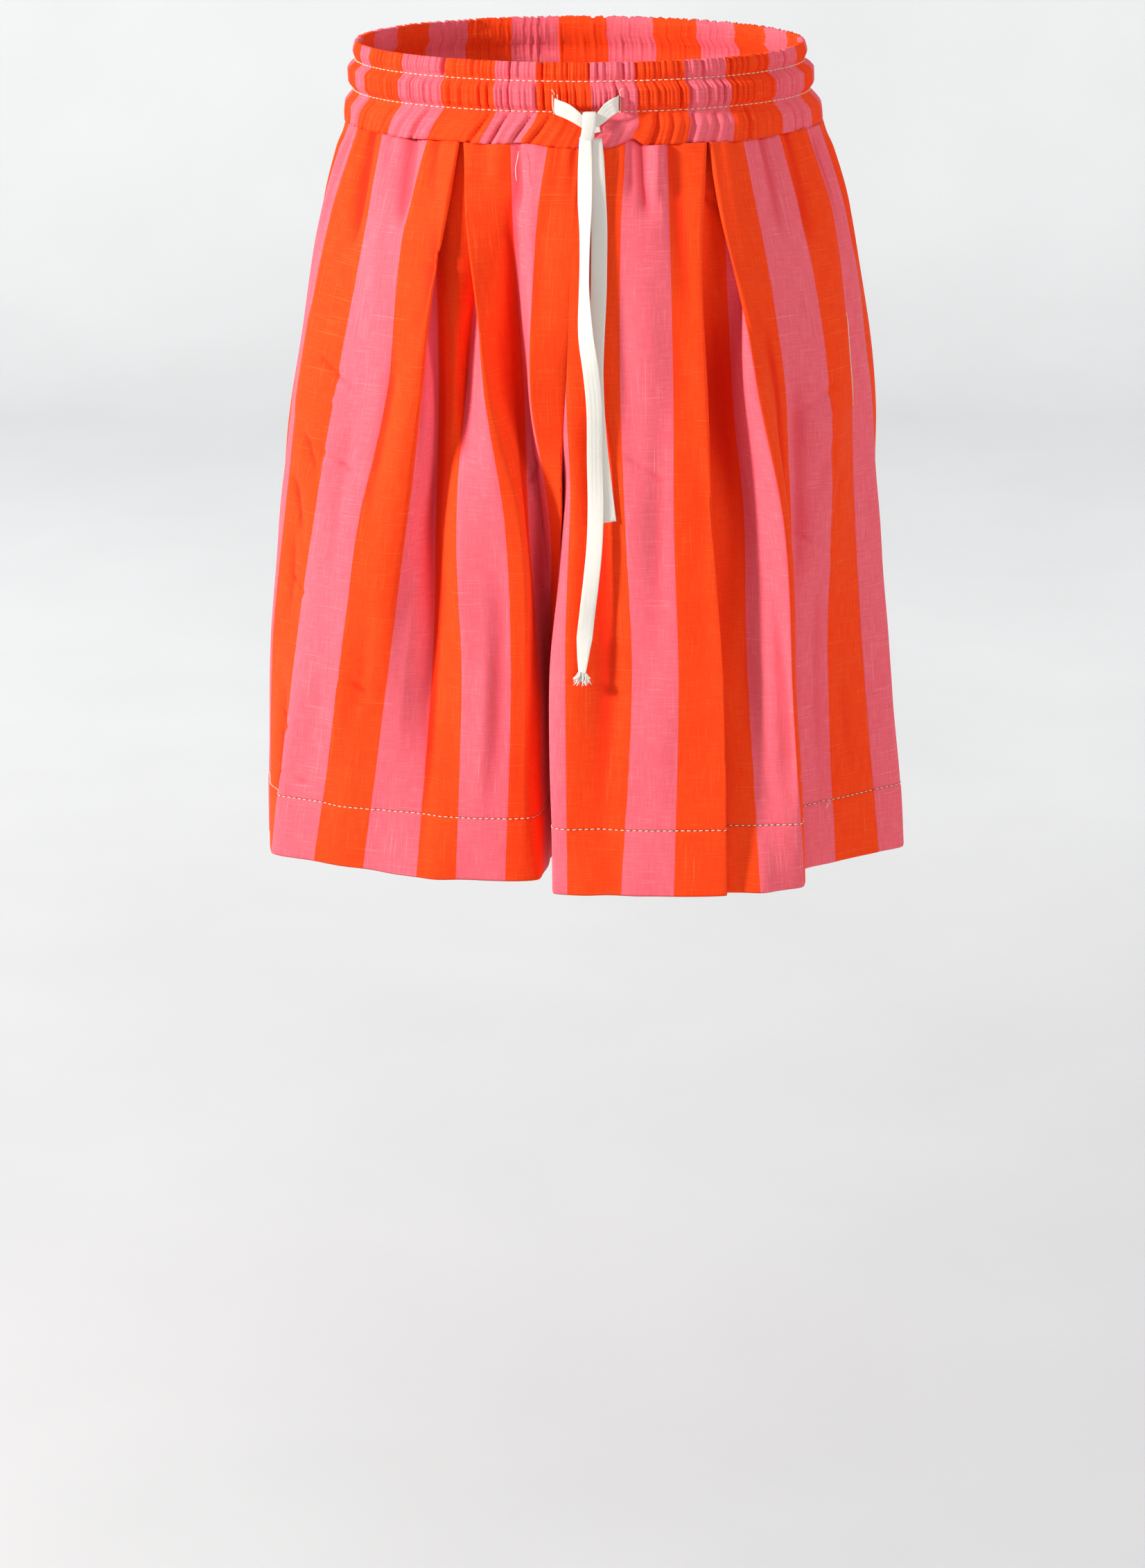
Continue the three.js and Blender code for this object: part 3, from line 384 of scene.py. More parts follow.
def inner_seam(panel, heights):
    """Midway between the two panels' own edges above the fork, and the inseam's curve below it."""
    ends = []
    for one in (panel, PANELS[panel["partner"]]):
        ends.append(section_at(one["rows"], start_of(one, heights)[:, None], heights)[:, 0])
    middle = (ends[0] + ends[1]) / 2
    apart = FORK_SPREAD * ease((SPREAD_FROM - heights) / (SPREAD_FROM - SPREAD_TO))
    middle[:, 0] += panel["hand"] * apart
    xs, ys = INSEAM_RIGHT if panel["hand"] > 0 else INSEAM_LEFT
    legs = np.stack([smooth_at(INSEAM_HEIGHTS, xs, heights), smooth_at(INSEAM_HEIGHTS, ys, heights)], axis=-1)
    return np.where((heights <= FORK)[:, None], legs, middle)


def side_seam(panel, heights):
    """The front's last grain line, which both panels of a leg are drawn to."""
    _, xs, ys = (FRONT_RIGHT if panel["hand"] > 0 else FRONT_LEFT)[-1]
    return np.stack([smooth_at(LEVELS, xs, heights), smooth_at(LEVELS, ys, heights)], axis=-1)


def seam_lift(points):
    """Rise of the waist seam at each point, by its angle round the body."""
    angle = np.degrees(np.arctan2(points[..., 0], -points[..., 1]))
    return smooth_at(SEAM_ANGLES, SEAM_LIFT, angle)


def directions(points, turn):
    """Outward unit directions of a grid of points: the cross product of its steps along and down."""
    down, along = np.gradient(points, axis=(0, 1))
    out = -turn * np.cross(along, down)
    return out / np.linalg.norm(out, axis=-1, keepdims=True)


def crease_relief(name, flats, heights):
    """Sum of soft troughs, each a bell across its line, running out at both ends."""
    total = np.zeros_like(flats)
    for f0, z0, f1, z1, half, depth in CREASES[name]:
        run = (z0 - heights) / (z0 - z1)
        line = f0 + (f1 - f0) * np.clip(run, 0, 1)
        top = 1 if z0 == WAIST_SEAM else ease(run / 0.3)
        share = CREASE_FACTOR * depth * top * ease((1 - run) / 0.45) * (run > -0.5)
        total -= share * np.exp(-(((flats - line) / half) ** 2))
    return total


def gather_relief(panel, flats, heights):
    """Gathers that fall from the waist seam: waves of uneven pitch and height that run out down the cloth."""
    pitch = 11 if panel["front"] else 13
    wave = np.sin(2 * np.pi * (flats + 4 * np.sin(flats / 23) + 2 * np.sin(flats / 9.1)) / pitch)
    uneven = 0.55 + 0.45 * np.sin(flats / 17 + 1.2) * np.sin(flats / 41)
    length = 30 + 26 * np.sin(flats / 13.7) ** 2 + (0 if panel["front"] else 30)
    fade = np.exp(-np.maximum(WAIST_SEAM - heights, 0) / length)
    broad = 2.2 * np.sin(2 * np.pi * (flats + 5 * np.sin(flats / 37)) / 34) * ease((-31 - heights) / 20)
    broad = broad * (1 - ease((-60 - heights) / 110)) * (0 if panel["front"] else 1)
    outer = 1 + 0.9 * ease((flats - 190) / 40)
    return (0.75 if panel["front"] else 1.0) * outer * wave * uneven * fade + broad


def soft_relief(flats, heights):
    """The cloth's own unevenness: a few long shallow waves that cross each other."""
    a = np.sin(flats / 14.3 + 0.9 * np.sin(heights / 47) + heights / 160)
    b = np.sin(flats / 8.1 - heights / 63 + 1.4 * np.sin(heights / 90 + flats / 50))
    c = np.sin(heights / 21 + flats / 33 + 2 * np.sin(flats / 61))
    return 0.75 * a + 0.5 * b + 0.45 * c * b


def hem_relief(flats, heights, stitch_line):
    """The doubled hem stands a little proud, and its stitching draws the cloth in between uneven puckers."""
    proud = 0.35 * ease((stitch_line - heights) / 2.5)
    near = np.exp(-(((heights - stitch_line) / 3.2) ** 2))
    pull = 0.45 + 0.3 * np.sin(flats / 2.7 + 1.7 * np.sin(flats / 11)) + 0.25 * np.sin(flats / 7.3)
    ripple = 0.9 * np.sin(flats / 8.3 + 1.3 * np.sin(flats / 27)) * np.sin(flats / 37 + 1)
    return proud - 0.55 * near * pull + ripple * ease((stitch_line + 30 - heights) / 60)


def panel_columns(panel, step):
    """Places along the flat: even steps, closer within a few millimetres of each sharp fold."""
    stations = np.array([row[0] for row in panel["rows"]], float)
    folds = stations[1:][np.diff(stations) < 5]
    fine = [np.arange(f - 6.5, f + 3.5, 0.9) for f in folds]
    even = np.arange(-panel["fork"], panel["width"], step)
    far = even[[np.min(np.abs(folds - 1.5 - p), initial=99) > 5.5 for p in even]]
    return np.unique(np.concatenate([far, *fine, [panel["width"]]]))


def panel_middle(name, sizes, places=None, setback=0.2, pocket=True):
    """A panel's middle surface: the section at each height, drawn to its seams at both edges, with creases
    and gathers along its outward direction. Columns before the hinge spread as the fork grows."""
    panel = PANELS[name]
    hem_line = HEM_FOLD + sizes.hem / MM
    heights = np.unique(np.concatenate([
        np.linspace(WAIST_SEAM, WAIST_SEAM - 24, 13), np.arange(WAIST_SEAM - 27, HEM_FOLD, -3.6),
        hem_line + np.array([-4, -2.5, -1.2, 0, 1.2, 2.5, 4]), [HEM_FOLD + 1.6, HEM_FOLD],
    ]))[::-1]
    places = panel_columns(panel, 2.5) if places is None else places
    hinge = next(row[0] for row in panel["rows"] if row[0] > 20)
    start = start_of(panel, heights)[:, None]
    share = (places + panel["fork"]) / (hinge + panel["fork"])
    first = start + setback
    spots = np.where(places < hinge, first + share * (hinge - first), places)
    tall = np.broadcast_to(heights[:, None], spots.shape)
    opening = ease((POCKET_TOP - tall) / 14) * ease((tall - POCKET_BOTTOM) / 14)
    opening = opening * (panel["front"] and pocket)
    near_end = np.clip(1 - (panel["width"] - places) / 16, 0, 1)
    spots = spots - near_end * (setback + POCKET_SPREAD[panel["hand"]] * opening)
    plane = section_at(panel["rows"], spots, heights)
    first = section_at(panel["rows"], start, heights)
    last = section_at(panel["rows"], np.full_like(start, panel["width"]), heights)
    pull_start = 1 - ease((spots - start) / SEAM_PULL)
    pull_end = 1 - ease((panel["width"] - spots) / SEAM_PULL)
    plane = plane + pull_start[..., None] * (inner_seam(panel, heights)[:, None] - first)
    plane = plane + pull_end[..., None] * (side_seam(panel, heights)[:, None] - last)
    points = np.concatenate([plane, tall[..., None]], axis=-1)
    out = directions(points, panel["turn"])
    calm = ease((spots - start) / 7) * ease((panel["width"] - spots) / 7)
    rise = crease_relief(name, spots, tall) + gather_relief(panel, spots, tall) + soft_relief(spots, tall)
    rise = rise * calm + hem_relief(spots, tall, hem_line)
    rise = rise * (1 if panel["front"] else 0.3 + 0.7 * ease((WAIST_SEAM - tall) / 12))
    rise = rise + POCKET_GAPE[panel["hand"]] * opening * ease(1 - (panel["width"] - spots) / 30)
    points = points + out * rise[..., None]
    points[..., 2] += seam_lift(points) * (1 - ease((WAIST_SEAM - tall) / SEAM_FADE))
    return points, spots, heights


def with_lips(points, flats, turn):
    """Adds the seam allowances at both edges: the cloth rolls in against its outward direction."""
    out = directions(points, turn)
    edges = []
    rolled = ((0.3, 0.0), (0.9, 0.1), (1.8, 0.2))
    for edge, inside in ((0, 1), (-1, -2)):
        along = points[:, inside] - points[:, edge]
        along = along / np.linalg.norm(along, axis=-1, keepdims=True)
        lips = [points[:, edge] - out[:, edge] * d + along * e for d, e in rolled]
        edges.append(np.stack(lips, axis=1))
    points = np.concatenate([edges[0][:, ::-1], points, edges[1]], axis=1)
    flats = np.concatenate([np.repeat(flats[:, :1], 3, 1), flats, np.repeat(flats[:, -1:], 3, 1)], axis=1)
    return points, flats


# Meshes


def grid_quads(rows, columns, wrap_rows=False, wrap_columns=False, first=0):
    """Quads of a grid of points numbered row by row, closed round either way if asked."""
    r = np.arange(rows if wrap_rows else rows - 1)[:, None]
    c = np.arange(columns if wrap_columns else columns - 1)[None]
    r1, c1 = (r + 1) % rows, (c + 1) % columns
    corners = [r * columns + c, r1 * columns + c, r1 * columns + c1, r * columns + c1]
    return np.stack([k + np.zeros_like(r + c) for k in corners], axis=-1).reshape(-1, 4) + first


def faced_out(points, quads):
    """Turns all faces round if the closed shape's volume comes out negative."""
    a, b, c, d = (points[quads[:, k]] for k in range(4))
    volume = np.sum(a * np.cross(b, c)) + np.sum(a * np.cross(c, d))
    return quads[:, ::-1] if volume < 0 else quads


def fold_shade_share(points, out, reaches, full):
    """How deep each point lies in a fold, 0 to 1, as the share of painted shade in the linen's colour: how
    far the cloth on both sides, some columns off, stands out over it for its distance."""
    columns = np.arange(points.shape[1])
    total = np.zeros(points.shape[:2])
    for reach in reaches:
        one = points[:, np.clip(columns - reach, 0, columns[-1])]
        other = points[:, np.clip(columns + reach, 0, columns[-1])]
        rise = np.sum(((one + other) / 2 - points) * out, axis=-1)
        total += rise / (np.linalg.norm(other - one, axis=-1) / 2 + 0.5)
    return ease(total / len(reaches) / full)


def mesh_object(name, points, quads, uv, material, folds=None):
    """One smooth mesh object from points in millimetres, quads and a UV for each point, and a point attribute
    of painted fold shade if one is given.
    """
    quads = faced_out(points, np.asarray(quads))
    mesh = bpy.data.meshes.new(name)
    mesh.vertices.add(len(points))
    mesh.vertices.foreach_set("co", (points * MM).astype(np.float32).ravel())
    mesh.loops.add(quads.size)
    mesh.loops.foreach_set("vertex_index", quads.astype(np.int32).ravel())
    mesh.polygons.add(len(quads))
    mesh.polygons.foreach_set("loop_start", np.arange(0, quads.size, 4, dtype=np.int32))
    mesh.uv_layers.new(name="cloth")
    mesh.uv_layers["cloth"].data.foreach_set("uv", uv[quads.ravel()].astype(np.float32).ravel())
    # The fold attribute holds the share of painted shade that the linen puts in the folds
    if folds is not None:
        depths = mesh.attributes.new("fold", "FLOAT", "POINT")
        depths.data.foreach_set("value", folds.astype(np.float32).ravel())
    mesh.update(calc_edges=True)
    mesh.validate()
    mesh.shade_smooth()
    mesh.materials.append(material)
    piece = bpy.data.objects.new(name, mesh)
    bpy.context.scene.collection.objects.link(piece)
    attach(piece, "root")
    return piece


def shell(outer, inner, uv):
    """Closes an outer and an inner grid of equal size with borders on all four sides."""
    rows, columns = outer.shape[:2]
    count = rows * columns
    top = grid_quads(rows, columns)
    under = grid_quads(rows, columns, first=count)[:, ::-1]
    index = np.arange(count).reshape(rows, columns)
    rim = np.concatenate([index[0], index[1:, -1], index[-1, -2::-1], index[-2:0:-1, 0]])
    after = np.roll(rim, -1)
    border = np.stack([rim, after, after + count, rim + count], axis=-1)
    points = np.concatenate([outer.reshape(-1, 3), inner.reshape(-1, 3)])
    return points, np.concatenate([top, under, border]), np.concatenate([uv, uv]).reshape(-1, 2)


def path_through(route, steps):
    """Evenly spaced points on the smooth curve through a route, and what its other columns are there."""
    route = np.asarray(route, float)
    gone = np.concatenate([[0], np.cumsum(np.linalg.norm(np.diff(route[:, :3], axis=0), axis=1))])
    fine = smooth_at(gone, route.T, np.linspace(0, gone[-1], 40 * len(route))).T
    run = np.concatenate([[0], np.cumsum(np.linalg.norm(np.diff(fine[:, :3], axis=0), axis=1))])
    even = np.linspace(0, run[-1], steps)
    return np.stack([np.interp(even, run, fine[:, k]) for k in range(route.shape[1])], axis=-1), run[-1]


def tape_points(line, across, widths, thick, bow=0.0, sides=16):
    """A flat rounded section carried along a line: its width lies along the given direction, turned about the
    line by the fourth column, and its middle stands out by the bow."""
    centre = line[:, :3]
    along = np.gradient(centre, axis=0)
    along = along / np.linalg.norm(along, axis=-1, keepdims=True)
    wide = across - along * (along @ across)[:, None]
    wide = wide / np.linalg.norm(wide, axis=-1, keepdims=True)
    deep = np.cross(along, wide)
    turn = np.radians(line[:, 3:4])
    wide, deep = wide * np.cos(turn) + deep * np.sin(turn), deep * np.cos(turn) - wide * np.sin(turn)
    a = 2 * np.pi * (np.arange(sides) + 0.5) / sides
    u = np.sign(np.cos(a)) * np.abs(np.cos(a)) ** 0.45
    v = np.sign(np.sin(a)) * np.abs(np.sin(a)) ** 0.6
    half = np.asarray(widths)[:, None, None] / 2
    lift = (v * thick / 2)[None, :, None] + bow * (1 - u**2)[None, :, None]
    return centre[:, None] + wide[:, None] * half * u[None, :, None] + deep[:, None] * lift, u


def tube_quads(rings, sides):
    """Quads round a closed tube, with both ends capped by strips across the section."""
    body = grid_quads(rings, sides, wrap_columns=True)
    j = np.arange(sides // 2 - 1)
    cap = np.stack([j, j + 1, sides - 2 - j, sides - 1 - j], axis=-1)
    return np.concatenate([body, cap, cap[:, ::-1] + (rings - 1) * sides])


def tape_object(name, route, across, material, widths=TAPE_WIDTH, thick=TAPE_THICK, bow=0.25, steps=120):
    """A tape along a route, with its UV across and along it in millimetres."""
    line, length = path_through(route, steps)
    widths = np.broadcast_to(widths, steps)
    points, u = tape_points(line, np.asarray(across, float), widths, thick, bow)
    run = np.linspace(0, length, steps)
    uv = np.stack(np.broadcast_arrays(u[None] * widths[:, None] / 2, run[:, None]), axis=-1)
    quads = tube_quads(steps, points.shape[1])
    piece = mesh_object(name, points.reshape(-1, 3), quads, uv.reshape(-1, 2), material)
    return piece, line[:, :3], length


def strand_points(routes, radius, steps, sides):
    """Round strands with an even number of sides, one for each route of three or more points, tapered at both
    ends."""
    clouds, faces = [], []
    for k, route in enumerate(routes):
        route = np.asarray(route, float)
        line, _ = path_through(np.concatenate([route, np.zeros((len(route), 1))], axis=1), steps)
        taper = radius * 2 * np.clip(np.sin(np.linspace(0.12, 0.88, steps) * np.pi) * 1.6, 0, 1)
        across = np.array([0.83, 0.41, 0.37])
        along = np.gradient(line[:, :3], axis=0)
        along = along / np.linalg.norm(along, axis=-1, keepdims=True)
        wide = across - along * (along @ across)[:, None]
        wide = wide / np.linalg.norm(wide, axis=-1, keepdims=True)
        deep = np.cross(along, wide)
        a = 2 * np.pi * np.arange(sides) / sides
        ring = wide[:, None] * np.cos(a)[None, :, None] + deep[:, None] * np.sin(a)[None, :, None]
        clouds.append((line[:, None, :3] + ring * taper[:, None, None] / 2).reshape(-1, 3))
        faces.append(tube_quads(steps, sides) + k * steps * sides)
    return np.concatenate(clouds), np.concatenate(faces)


def stitch_mesh(line, out, length, gap, width, lift):
    """Stitches along a line: each a slender six-sided bead that dips into the cloth at both ends."""
    step = np.linalg.norm(np.diff(line, axis=0), axis=1)
    run = np.concatenate([[0], np.cumsum(step)])
    count = int(run[-1] // (length + gap))
    starts = (np.arange(count) + 0.5) * run[-1] / count
    waver = 1 + 0.12 * np.sin(np.arange(count) * 2.4)
    place = np.stack([np.interp(starts, run, line[:, k]) for k in range(3)], axis=-1)
    normal = np.stack([np.interp(starts, run, out[:, k]) for k in range(3)], axis=-1)
    normal = normal / np.linalg.norm(normal, axis=-1, keepdims=True)
    ahead = np.stack([np.interp(starts + 0.6, run, line[:, k]) for k in range(3)], axis=-1) - place
    ahead = ahead / (np.linalg.norm(ahead, axis=-1, keepdims=True) + 1e-9)
    side = np.cross(ahead, normal)
    rings = np.array([-0.5, -0.36, 0, 0.36, 0.5])
    thick = np.array([0.35, 0.85, 1, 0.85, 0.35]) * width / 2
    rise = lift * np.array([-1.2, 0.5, 1, 0.5, -1.2])
    a = 2 * np.pi * np.arange(6) / 6
    centre = place[:, None] + ahead[:, None] * (rings[None, :, None] * length * waver[:, None, None])
    centre = centre + normal[:, None] * rise[None, :, None]
    ring = side[:, None, None] * np.cos(a)[None, None, :, None]
    ring = ring + normal[:, None, None] * np.sin(a)[None, None, :, None]
    points = centre[:, :, None] + ring * thick[None, :, None, None]
    quads = (tube_quads(5, 6)[None] + (np.arange(count) * 30)[:, None, None]).reshape(-1, 4)
    return points.reshape(-1, 3), quads


# Materials


class Nodes:
    """Short calls for a material's node tree."""

    def __init__(self, name):
        """A new material of that name, with its one shader."""
        self.material = bpy.data.materials.new(name)
        self.material.use_nodes = True
        self.tree = self.material.node_tree
        self.shader = self.tree.nodes["Principled BSDF"]

    def add(self, kind, inputs=(), **settings):
        """A node with its settings, each input linked to a socket or set to a value."""
        node = self.tree.nodes.new(kind)
        for key, value in settings.items():
            setattr(node, key, value)
        for key, value in dict(inputs).items():
            if isinstance(value, bpy.types.NodeSocket):
                self.tree.links.new(value, node.inputs[key])
            else:
                node.inputs[key].default_value = value
        return node

    def math(self, operation, a, b=0.0, c=0.0):
        """The result of one operation on sockets or numbers."""
        return self.add("ShaderNodeMath", {0: a, 1: b, 2: c}, operation=operation).outputs[0]

    def mix(self, share, a, b):
        """Colour a with a share of colour b."""
        node = self.add("ShaderNodeMix", data_type="RGBA", blend_type="MIX")
        for socket, value in ((node.inputs[0], share), (node.inputs[6], a), (node.inputs[7], b)):
            if isinstance(value, bpy.types.NodeSocket):
                self.tree.links.new(value, socket)
            else:
                socket.default_value = value
        return node.outputs[2]

    def noise(self, vector, scale, detail=2.0, rough=0.5):
        """Noise at a vector, from 0 to 1."""
        inputs = {"Vector": vector, "Scale": scale, "Detail": detail, "Roughness": rough}
        return self.add("ShaderNodeTexNoise", inputs).outputs["Fac"]

    def stretched(self, vector, scale):
        """A vector multiplied by a scale for each axis."""
        return self.add("ShaderNodeMapping", {"Vector": vector, "Scale": scale}).outputs[0]

    def between(self, value, low, high, to_low=0.0, to_high=1.0):
        """A value's place between two limits, carried to two others and held there."""
        inputs = {"Value": value, "From Min": low, "From Max": high, "To Min": to_low, "To Max": to_high}
        return self.add("ShaderNodeMapRange", inputs).outputs[0]


def rgba(colour, factor=1.0):
    """A colour times a factor, with full alpha."""
    return (*[min(1.0, c * factor) for c in colour], 1.0)


def linen_material(sizes):
    """Plain-weave linen: UV x counts pairs of stripes and UV y is on the same scale, so the yarns, slubs and
    stripe edges all follow the cloth. Painted shade turns the colour deep crimson and deep orange in the
    folds, by the fold attribute."""
    n = Nodes("striped linen")
    repeat = 2 * sizes.stripe / MM
    uv = n.add("ShaderNodeUVMap", uv_map="cloth").outputs[0]
    warp = n.noise(n.stretched(uv, (repeat / 0.55, repeat / 17, 1)), 1.0, 3.0, 0.6)
    weft = n.noise(n.stretched(uv, (repeat / 13, repeat / 0.5, 1)), 1.0, 3.0, 0.6)
    slub_warp = n.noise(n.stretched(uv, (repeat / 1.1, repeat / 55, 1)), 1.0, 1.0)
    slub_weft = n.noise(n.stretched(uv, (repeat / 40, repeat / 0.9, 1)), 1.0, 1.0)
    cloud = n.noise(n.stretched(uv, (repeat / 60, repeat / 90, 1)), 1.0, 3.0)
    apart = n.add("ShaderNodeSeparateXYZ", {0: uv})
    jitter = n.math("MULTIPLY", n.math("SUBTRACT", warp, 0.5), 0.012)
    place = n.math("FRACT", n.math("ADD", apart.outputs[0], jitter))
    edge = 0.006
    into = n.between(place, 0.0, edge)
    away = n.between(place, 0.5, 0.5 + edge, 1.0, 0.0)
    is_orange = n.math("MULTIPLY", into, away)
    colour = n.mix(is_orange, rgba(sizes.pink), rgba(sizes.orange))
    yarn = n.math("ADD", n.math("MULTIPLY", warp, 0.5), n.math("MULTIPLY", weft, 0.5))
    deep = n.mix(is_orange, rgba(sizes.pink, 0.80), rgba(sizes.orange, 0.86))
    pale_pink, pale_orange = (1.0, 0.3, 0.34, 1), (1.0, 0.15, 0.03, 1)
    pale = n.mix(is_orange, pale_pink, pale_orange)
    colour = n.mix(n.between(yarn, 0.52, 0.36, 0.0, 0.5), colour, deep)
    colour = n.mix(n.between(yarn, 0.5, 0.66, 0.0, 0.4), colour, pale)
    slub = n.math("MAXIMUM", n.between(slub_warp, 0.66, 0.76), n.between(slub_weft, 0.64, 0.74))
    colour = n.mix(n.math("MULTIPLY", slub, 0.4), colour, pale)
    colour = n.mix(n.between(cloud, 0.35, 0.7, 0.0, 0.08), colour, pale)
    # Painted shade: where the fold attribute is high, the stripes turn deep crimson and deep orange, as shade
    # falls in the folds
    fold = n.add("ShaderNodeAttribute", attribute_name="fold").outputs["Fac"]
    painted_fold_shade = n.mix(is_orange, (0.72, 0.06, 0.085, 1), (0.78, 0.014, 0.001, 1))
    colour = n.mix(n.math("MULTIPLY", fold, 0.75), colour, painted_fold_shade)
    n.tree.links.new(colour, n.shader.inputs["Base Color"])
    n.shader.inputs["Roughness"].default_value = 0.82
    n.shader.inputs["Specular IOR Level"].default_value = 0.15
    n.shader.inputs["Sheen Weight"].default_value = 0.08
    n.shader.inputs["Sheen Roughness"].default_value = 0.4
    n.shader.inputs["Sheen Tint"].default_value = (1.0, 0.6, 0.4, 1)
    height = n.math("ADD", yarn, n.math("MULTIPLY", slub, 0.7))
    bump = n.add("ShaderNodeBump", {"Strength": 0.35, "Distance": 0.0005, "Height": height})
    n.tree.links.new(bump.outputs[0], n.shader.inputs["Normal"])
    return n.material


def cotton_material(sizes):
    """Flat woven cotton: fine herringbone ribs along the tape, with painted light on their tops and painted
    shade between them.
    """
    n = Nodes("cotton tape")
    uv = n.add("ShaderNodeUVMap", uv_map="cloth").outputs[0]
    apart = n.add("ShaderNodeSeparateXYZ", {0: uv})
    bands = n.math("FRACT", n.math("MULTIPLY", apart.outputs[0], 0.36))
    across = n.math("ABSOLUTE", n.math("SUBTRACT", bands, 0.5))
    slant = n.math("ADD", n.math("MULTIPLY", across, 5.4), n.math("MULTIPLY", apart.outputs[1], 1.5))
    rib = n.math("SINE", n.math("MULTIPLY", slant, 6.283))
    fluff = n.noise(n.stretched(uv, (2.4, 0.9, 1)), 1.0, 4.0, 0.7)
    # Painted light and shade: the colour follows the ribs' height, paler on the tops and darker between them
    colour = n.mix(n.between(rib, -1, 1), rgba(sizes.cotton, 0.86), rgba(sizes.cotton, 1.08))
    colour = n.mix(n.between(fluff, 0.3, 0.7, 0.0, 0.4), colour, rgba(sizes.cotton, 0.8))
    n.tree.links.new(colour, n.shader.inputs["Base Color"])
    n.shader.inputs["Roughness"].default_value = 0.9
    n.shader.inputs["Sheen Weight"].default_value = 0.15
    height = n.math("ADD", n.math("MULTIPLY", rib, 0.5), fluff)
    bump = n.add("ShaderNodeBump", {"Strength": 0.5, "Distance": 0.0004, "Height": height})
    n.tree.links.new(bump.outputs[0], n.shader.inputs["Normal"])
    return n.material


def thread_material(name, colour):
    """Sewing thread: an even colour with the twist of its plies along it."""
    n = Nodes(name)
    place = n.add("ShaderNodeTexCoord").outputs["Object"]
    twist = n.noise(place, 2600.0, 2.0)
    mixed = n.mix(n.between(twist, 0.3, 0.7), rgba(colour, 0.82), rgba(colour, 1.05))
    n.tree.links.new(mixed, n.shader.inputs["Base Color"])
    n.shader.inputs["Roughness"].default_value = 0.6
    n.shader.inputs["Sheen Weight"].default_value = 0.1
    return n.material


def backdrop_material():
    """White studio paper with a faint grain."""
    n = Nodes("studio paper")
    place = n.add("ShaderNodeTexCoord").outputs["Object"]
    grain = n.noise(place, 3.0, 3.0)
    colour = n.mix(n.between(grain, 0.3, 0.7), (0.62, 0.625, 0.63, 1), (0.65, 0.655, 0.66, 1))
    n.tree.links.new(colour, n.shader.inputs["Base Color"])
    n.shader.inputs["Roughness"].default_value = 0.95
    return n.material


def shared(maker, name, *values):
    """The material of that name, made when a piece first asks for it."""
    return bpy.data.materials.get(name) or maker(*values)


def linen():
    """The striped linen, in the colours of the scene's sizes."""
    return shared(linen_material, "striped linen", bpy.context.scene.shorts_sizes)


def cotton():
    """The drawstring's cotton."""
    return shared(cotton_material, "cotton tape", bpy.context.scene.shorts_sizes)


def thread():
    """The cream sewing thread."""
    return shared(thread_material, "cream thread", "cream thread", (0.82, 0.62, 0.47))


# Waistband


def scatter(number, seed):
    """A value from 0 to 1 for each whole number, with no pattern from one to the next."""
    value = np.sin(number * 12.9898 + seed * 78.233) * 43758.5453
    return value - np.floor(value)


def band_tucks(angle, height, tucks):
    """Depth of the tucks. Each is a narrow valley between two puffs, at uneven places round the ring, and its
    depth changes at each row of stitching. The lower level has fewer and broader ones, which lean."""
    total = np.zeros(np.broadcast_shapes(angle.shape, height.shape))
    uneven = 0.6 * np.sin(3 * angle) + 0.45 * np.sin(7 * angle + 1) + 0.25 * np.sin(17 * angle)
    heading = ease((height - ROW_HIGH + 2) / 7)
    channel = ease((height - ROW_LOW + 1) / 5) * ease((ROW_HIGH + 1 - height) / 5)
    lower = ease((ROW_LOW + 1 - height) / 6)
    lean = 1.2 * np.interp(np.degrees(angle), LEAN_ANGLES, LEAN) / 12 * (ROW_LOW - height) / 22
    levels = [
        (tucks, 0, 3.4, 0.21, 0.25 * (1 - lower) + 0.75 * heading, 1),
        (tucks, 0, 3.4, 0.21, channel, 2),
        (round(tucks * 0.42), lean, 3.6, 0.15, lower * (0.5 + 0.5 * ease((height + 34) / 8)), 3),
    ]
    for count, shift, depth, width, share, seed in levels:
        turns = count * (angle / (2 * np.pi) + uneven / tucks) + shift
        number = np.floor(turns)
        place = turns - number
        number = np.mod(number, count)
        own = scatter(number, seed)
        valley = np.exp(-(((place - 0.35 - 0.3 * scatter(number, seed + 9)) / width) ** 2))
        puff = 1 - (2 * place - 1) ** 2
        total = total + share * depth * (0.4 * puff - (0.15 + 1.1 * own**1.5) * valley)
    return total


def band_points(angle, height, tucks, inward=0.0, smooth=1.0):
    """The waistband's surface by angle round the body and height: an oval between the table's rings, with its
    tucks, the dents of its stitching, and the rise and fall of its lower edge."""
    stations, places = np.array(BAND_HEIGHTS, float), height.reshape(1, -1)
    side, front, back, middle = (
        bent_at(stations, np.array([row], float), places).reshape(height.shape)
        for row in (BAND_SIDE, BAND_FRONT, BAND_BACK, BAND_MIDDLE)
    )
    deep = back + (front - back) * ease((np.cos(angle) + 0.35) / 0.7)
    rise = smooth * band_tucks(angle, height, tucks) - inward
    for row in (ROW_HIGH, ROW_LOW):
        rise = rise - smooth * 0.35 * np.exp(-(((height - row) / 1.5) ** 2)) * (1 + 0.5 * np.sin(angle * 240))
    for x, z in HOLES:
        near = np.exp(-(((middle + side * np.sin(angle) - x) / 1.5) ** 4) - ((height - z) / HOLE_HALF) ** 6)
        rise = rise - smooth * 0.9 * near * (np.cos(angle) > 0)
    x = middle + (side + rise) * np.sin(angle)
    y = -(deep + rise) * np.cos(angle)
    points = np.stack(np.broadcast_arrays(x, y, height + 0 * angle), axis=-1)
    low = 1 - ease((height - WAIST_SEAM) / (ROW_LOW - WAIST_SEAM - 3))
    points[..., 2] += seam_lift(points) * low
    scallop = ease((height - 18) / 5) * 0.55 * smooth * band_tucks(angle, height * 0 + 22, tucks)
    points[..., 2] += scallop
    return points


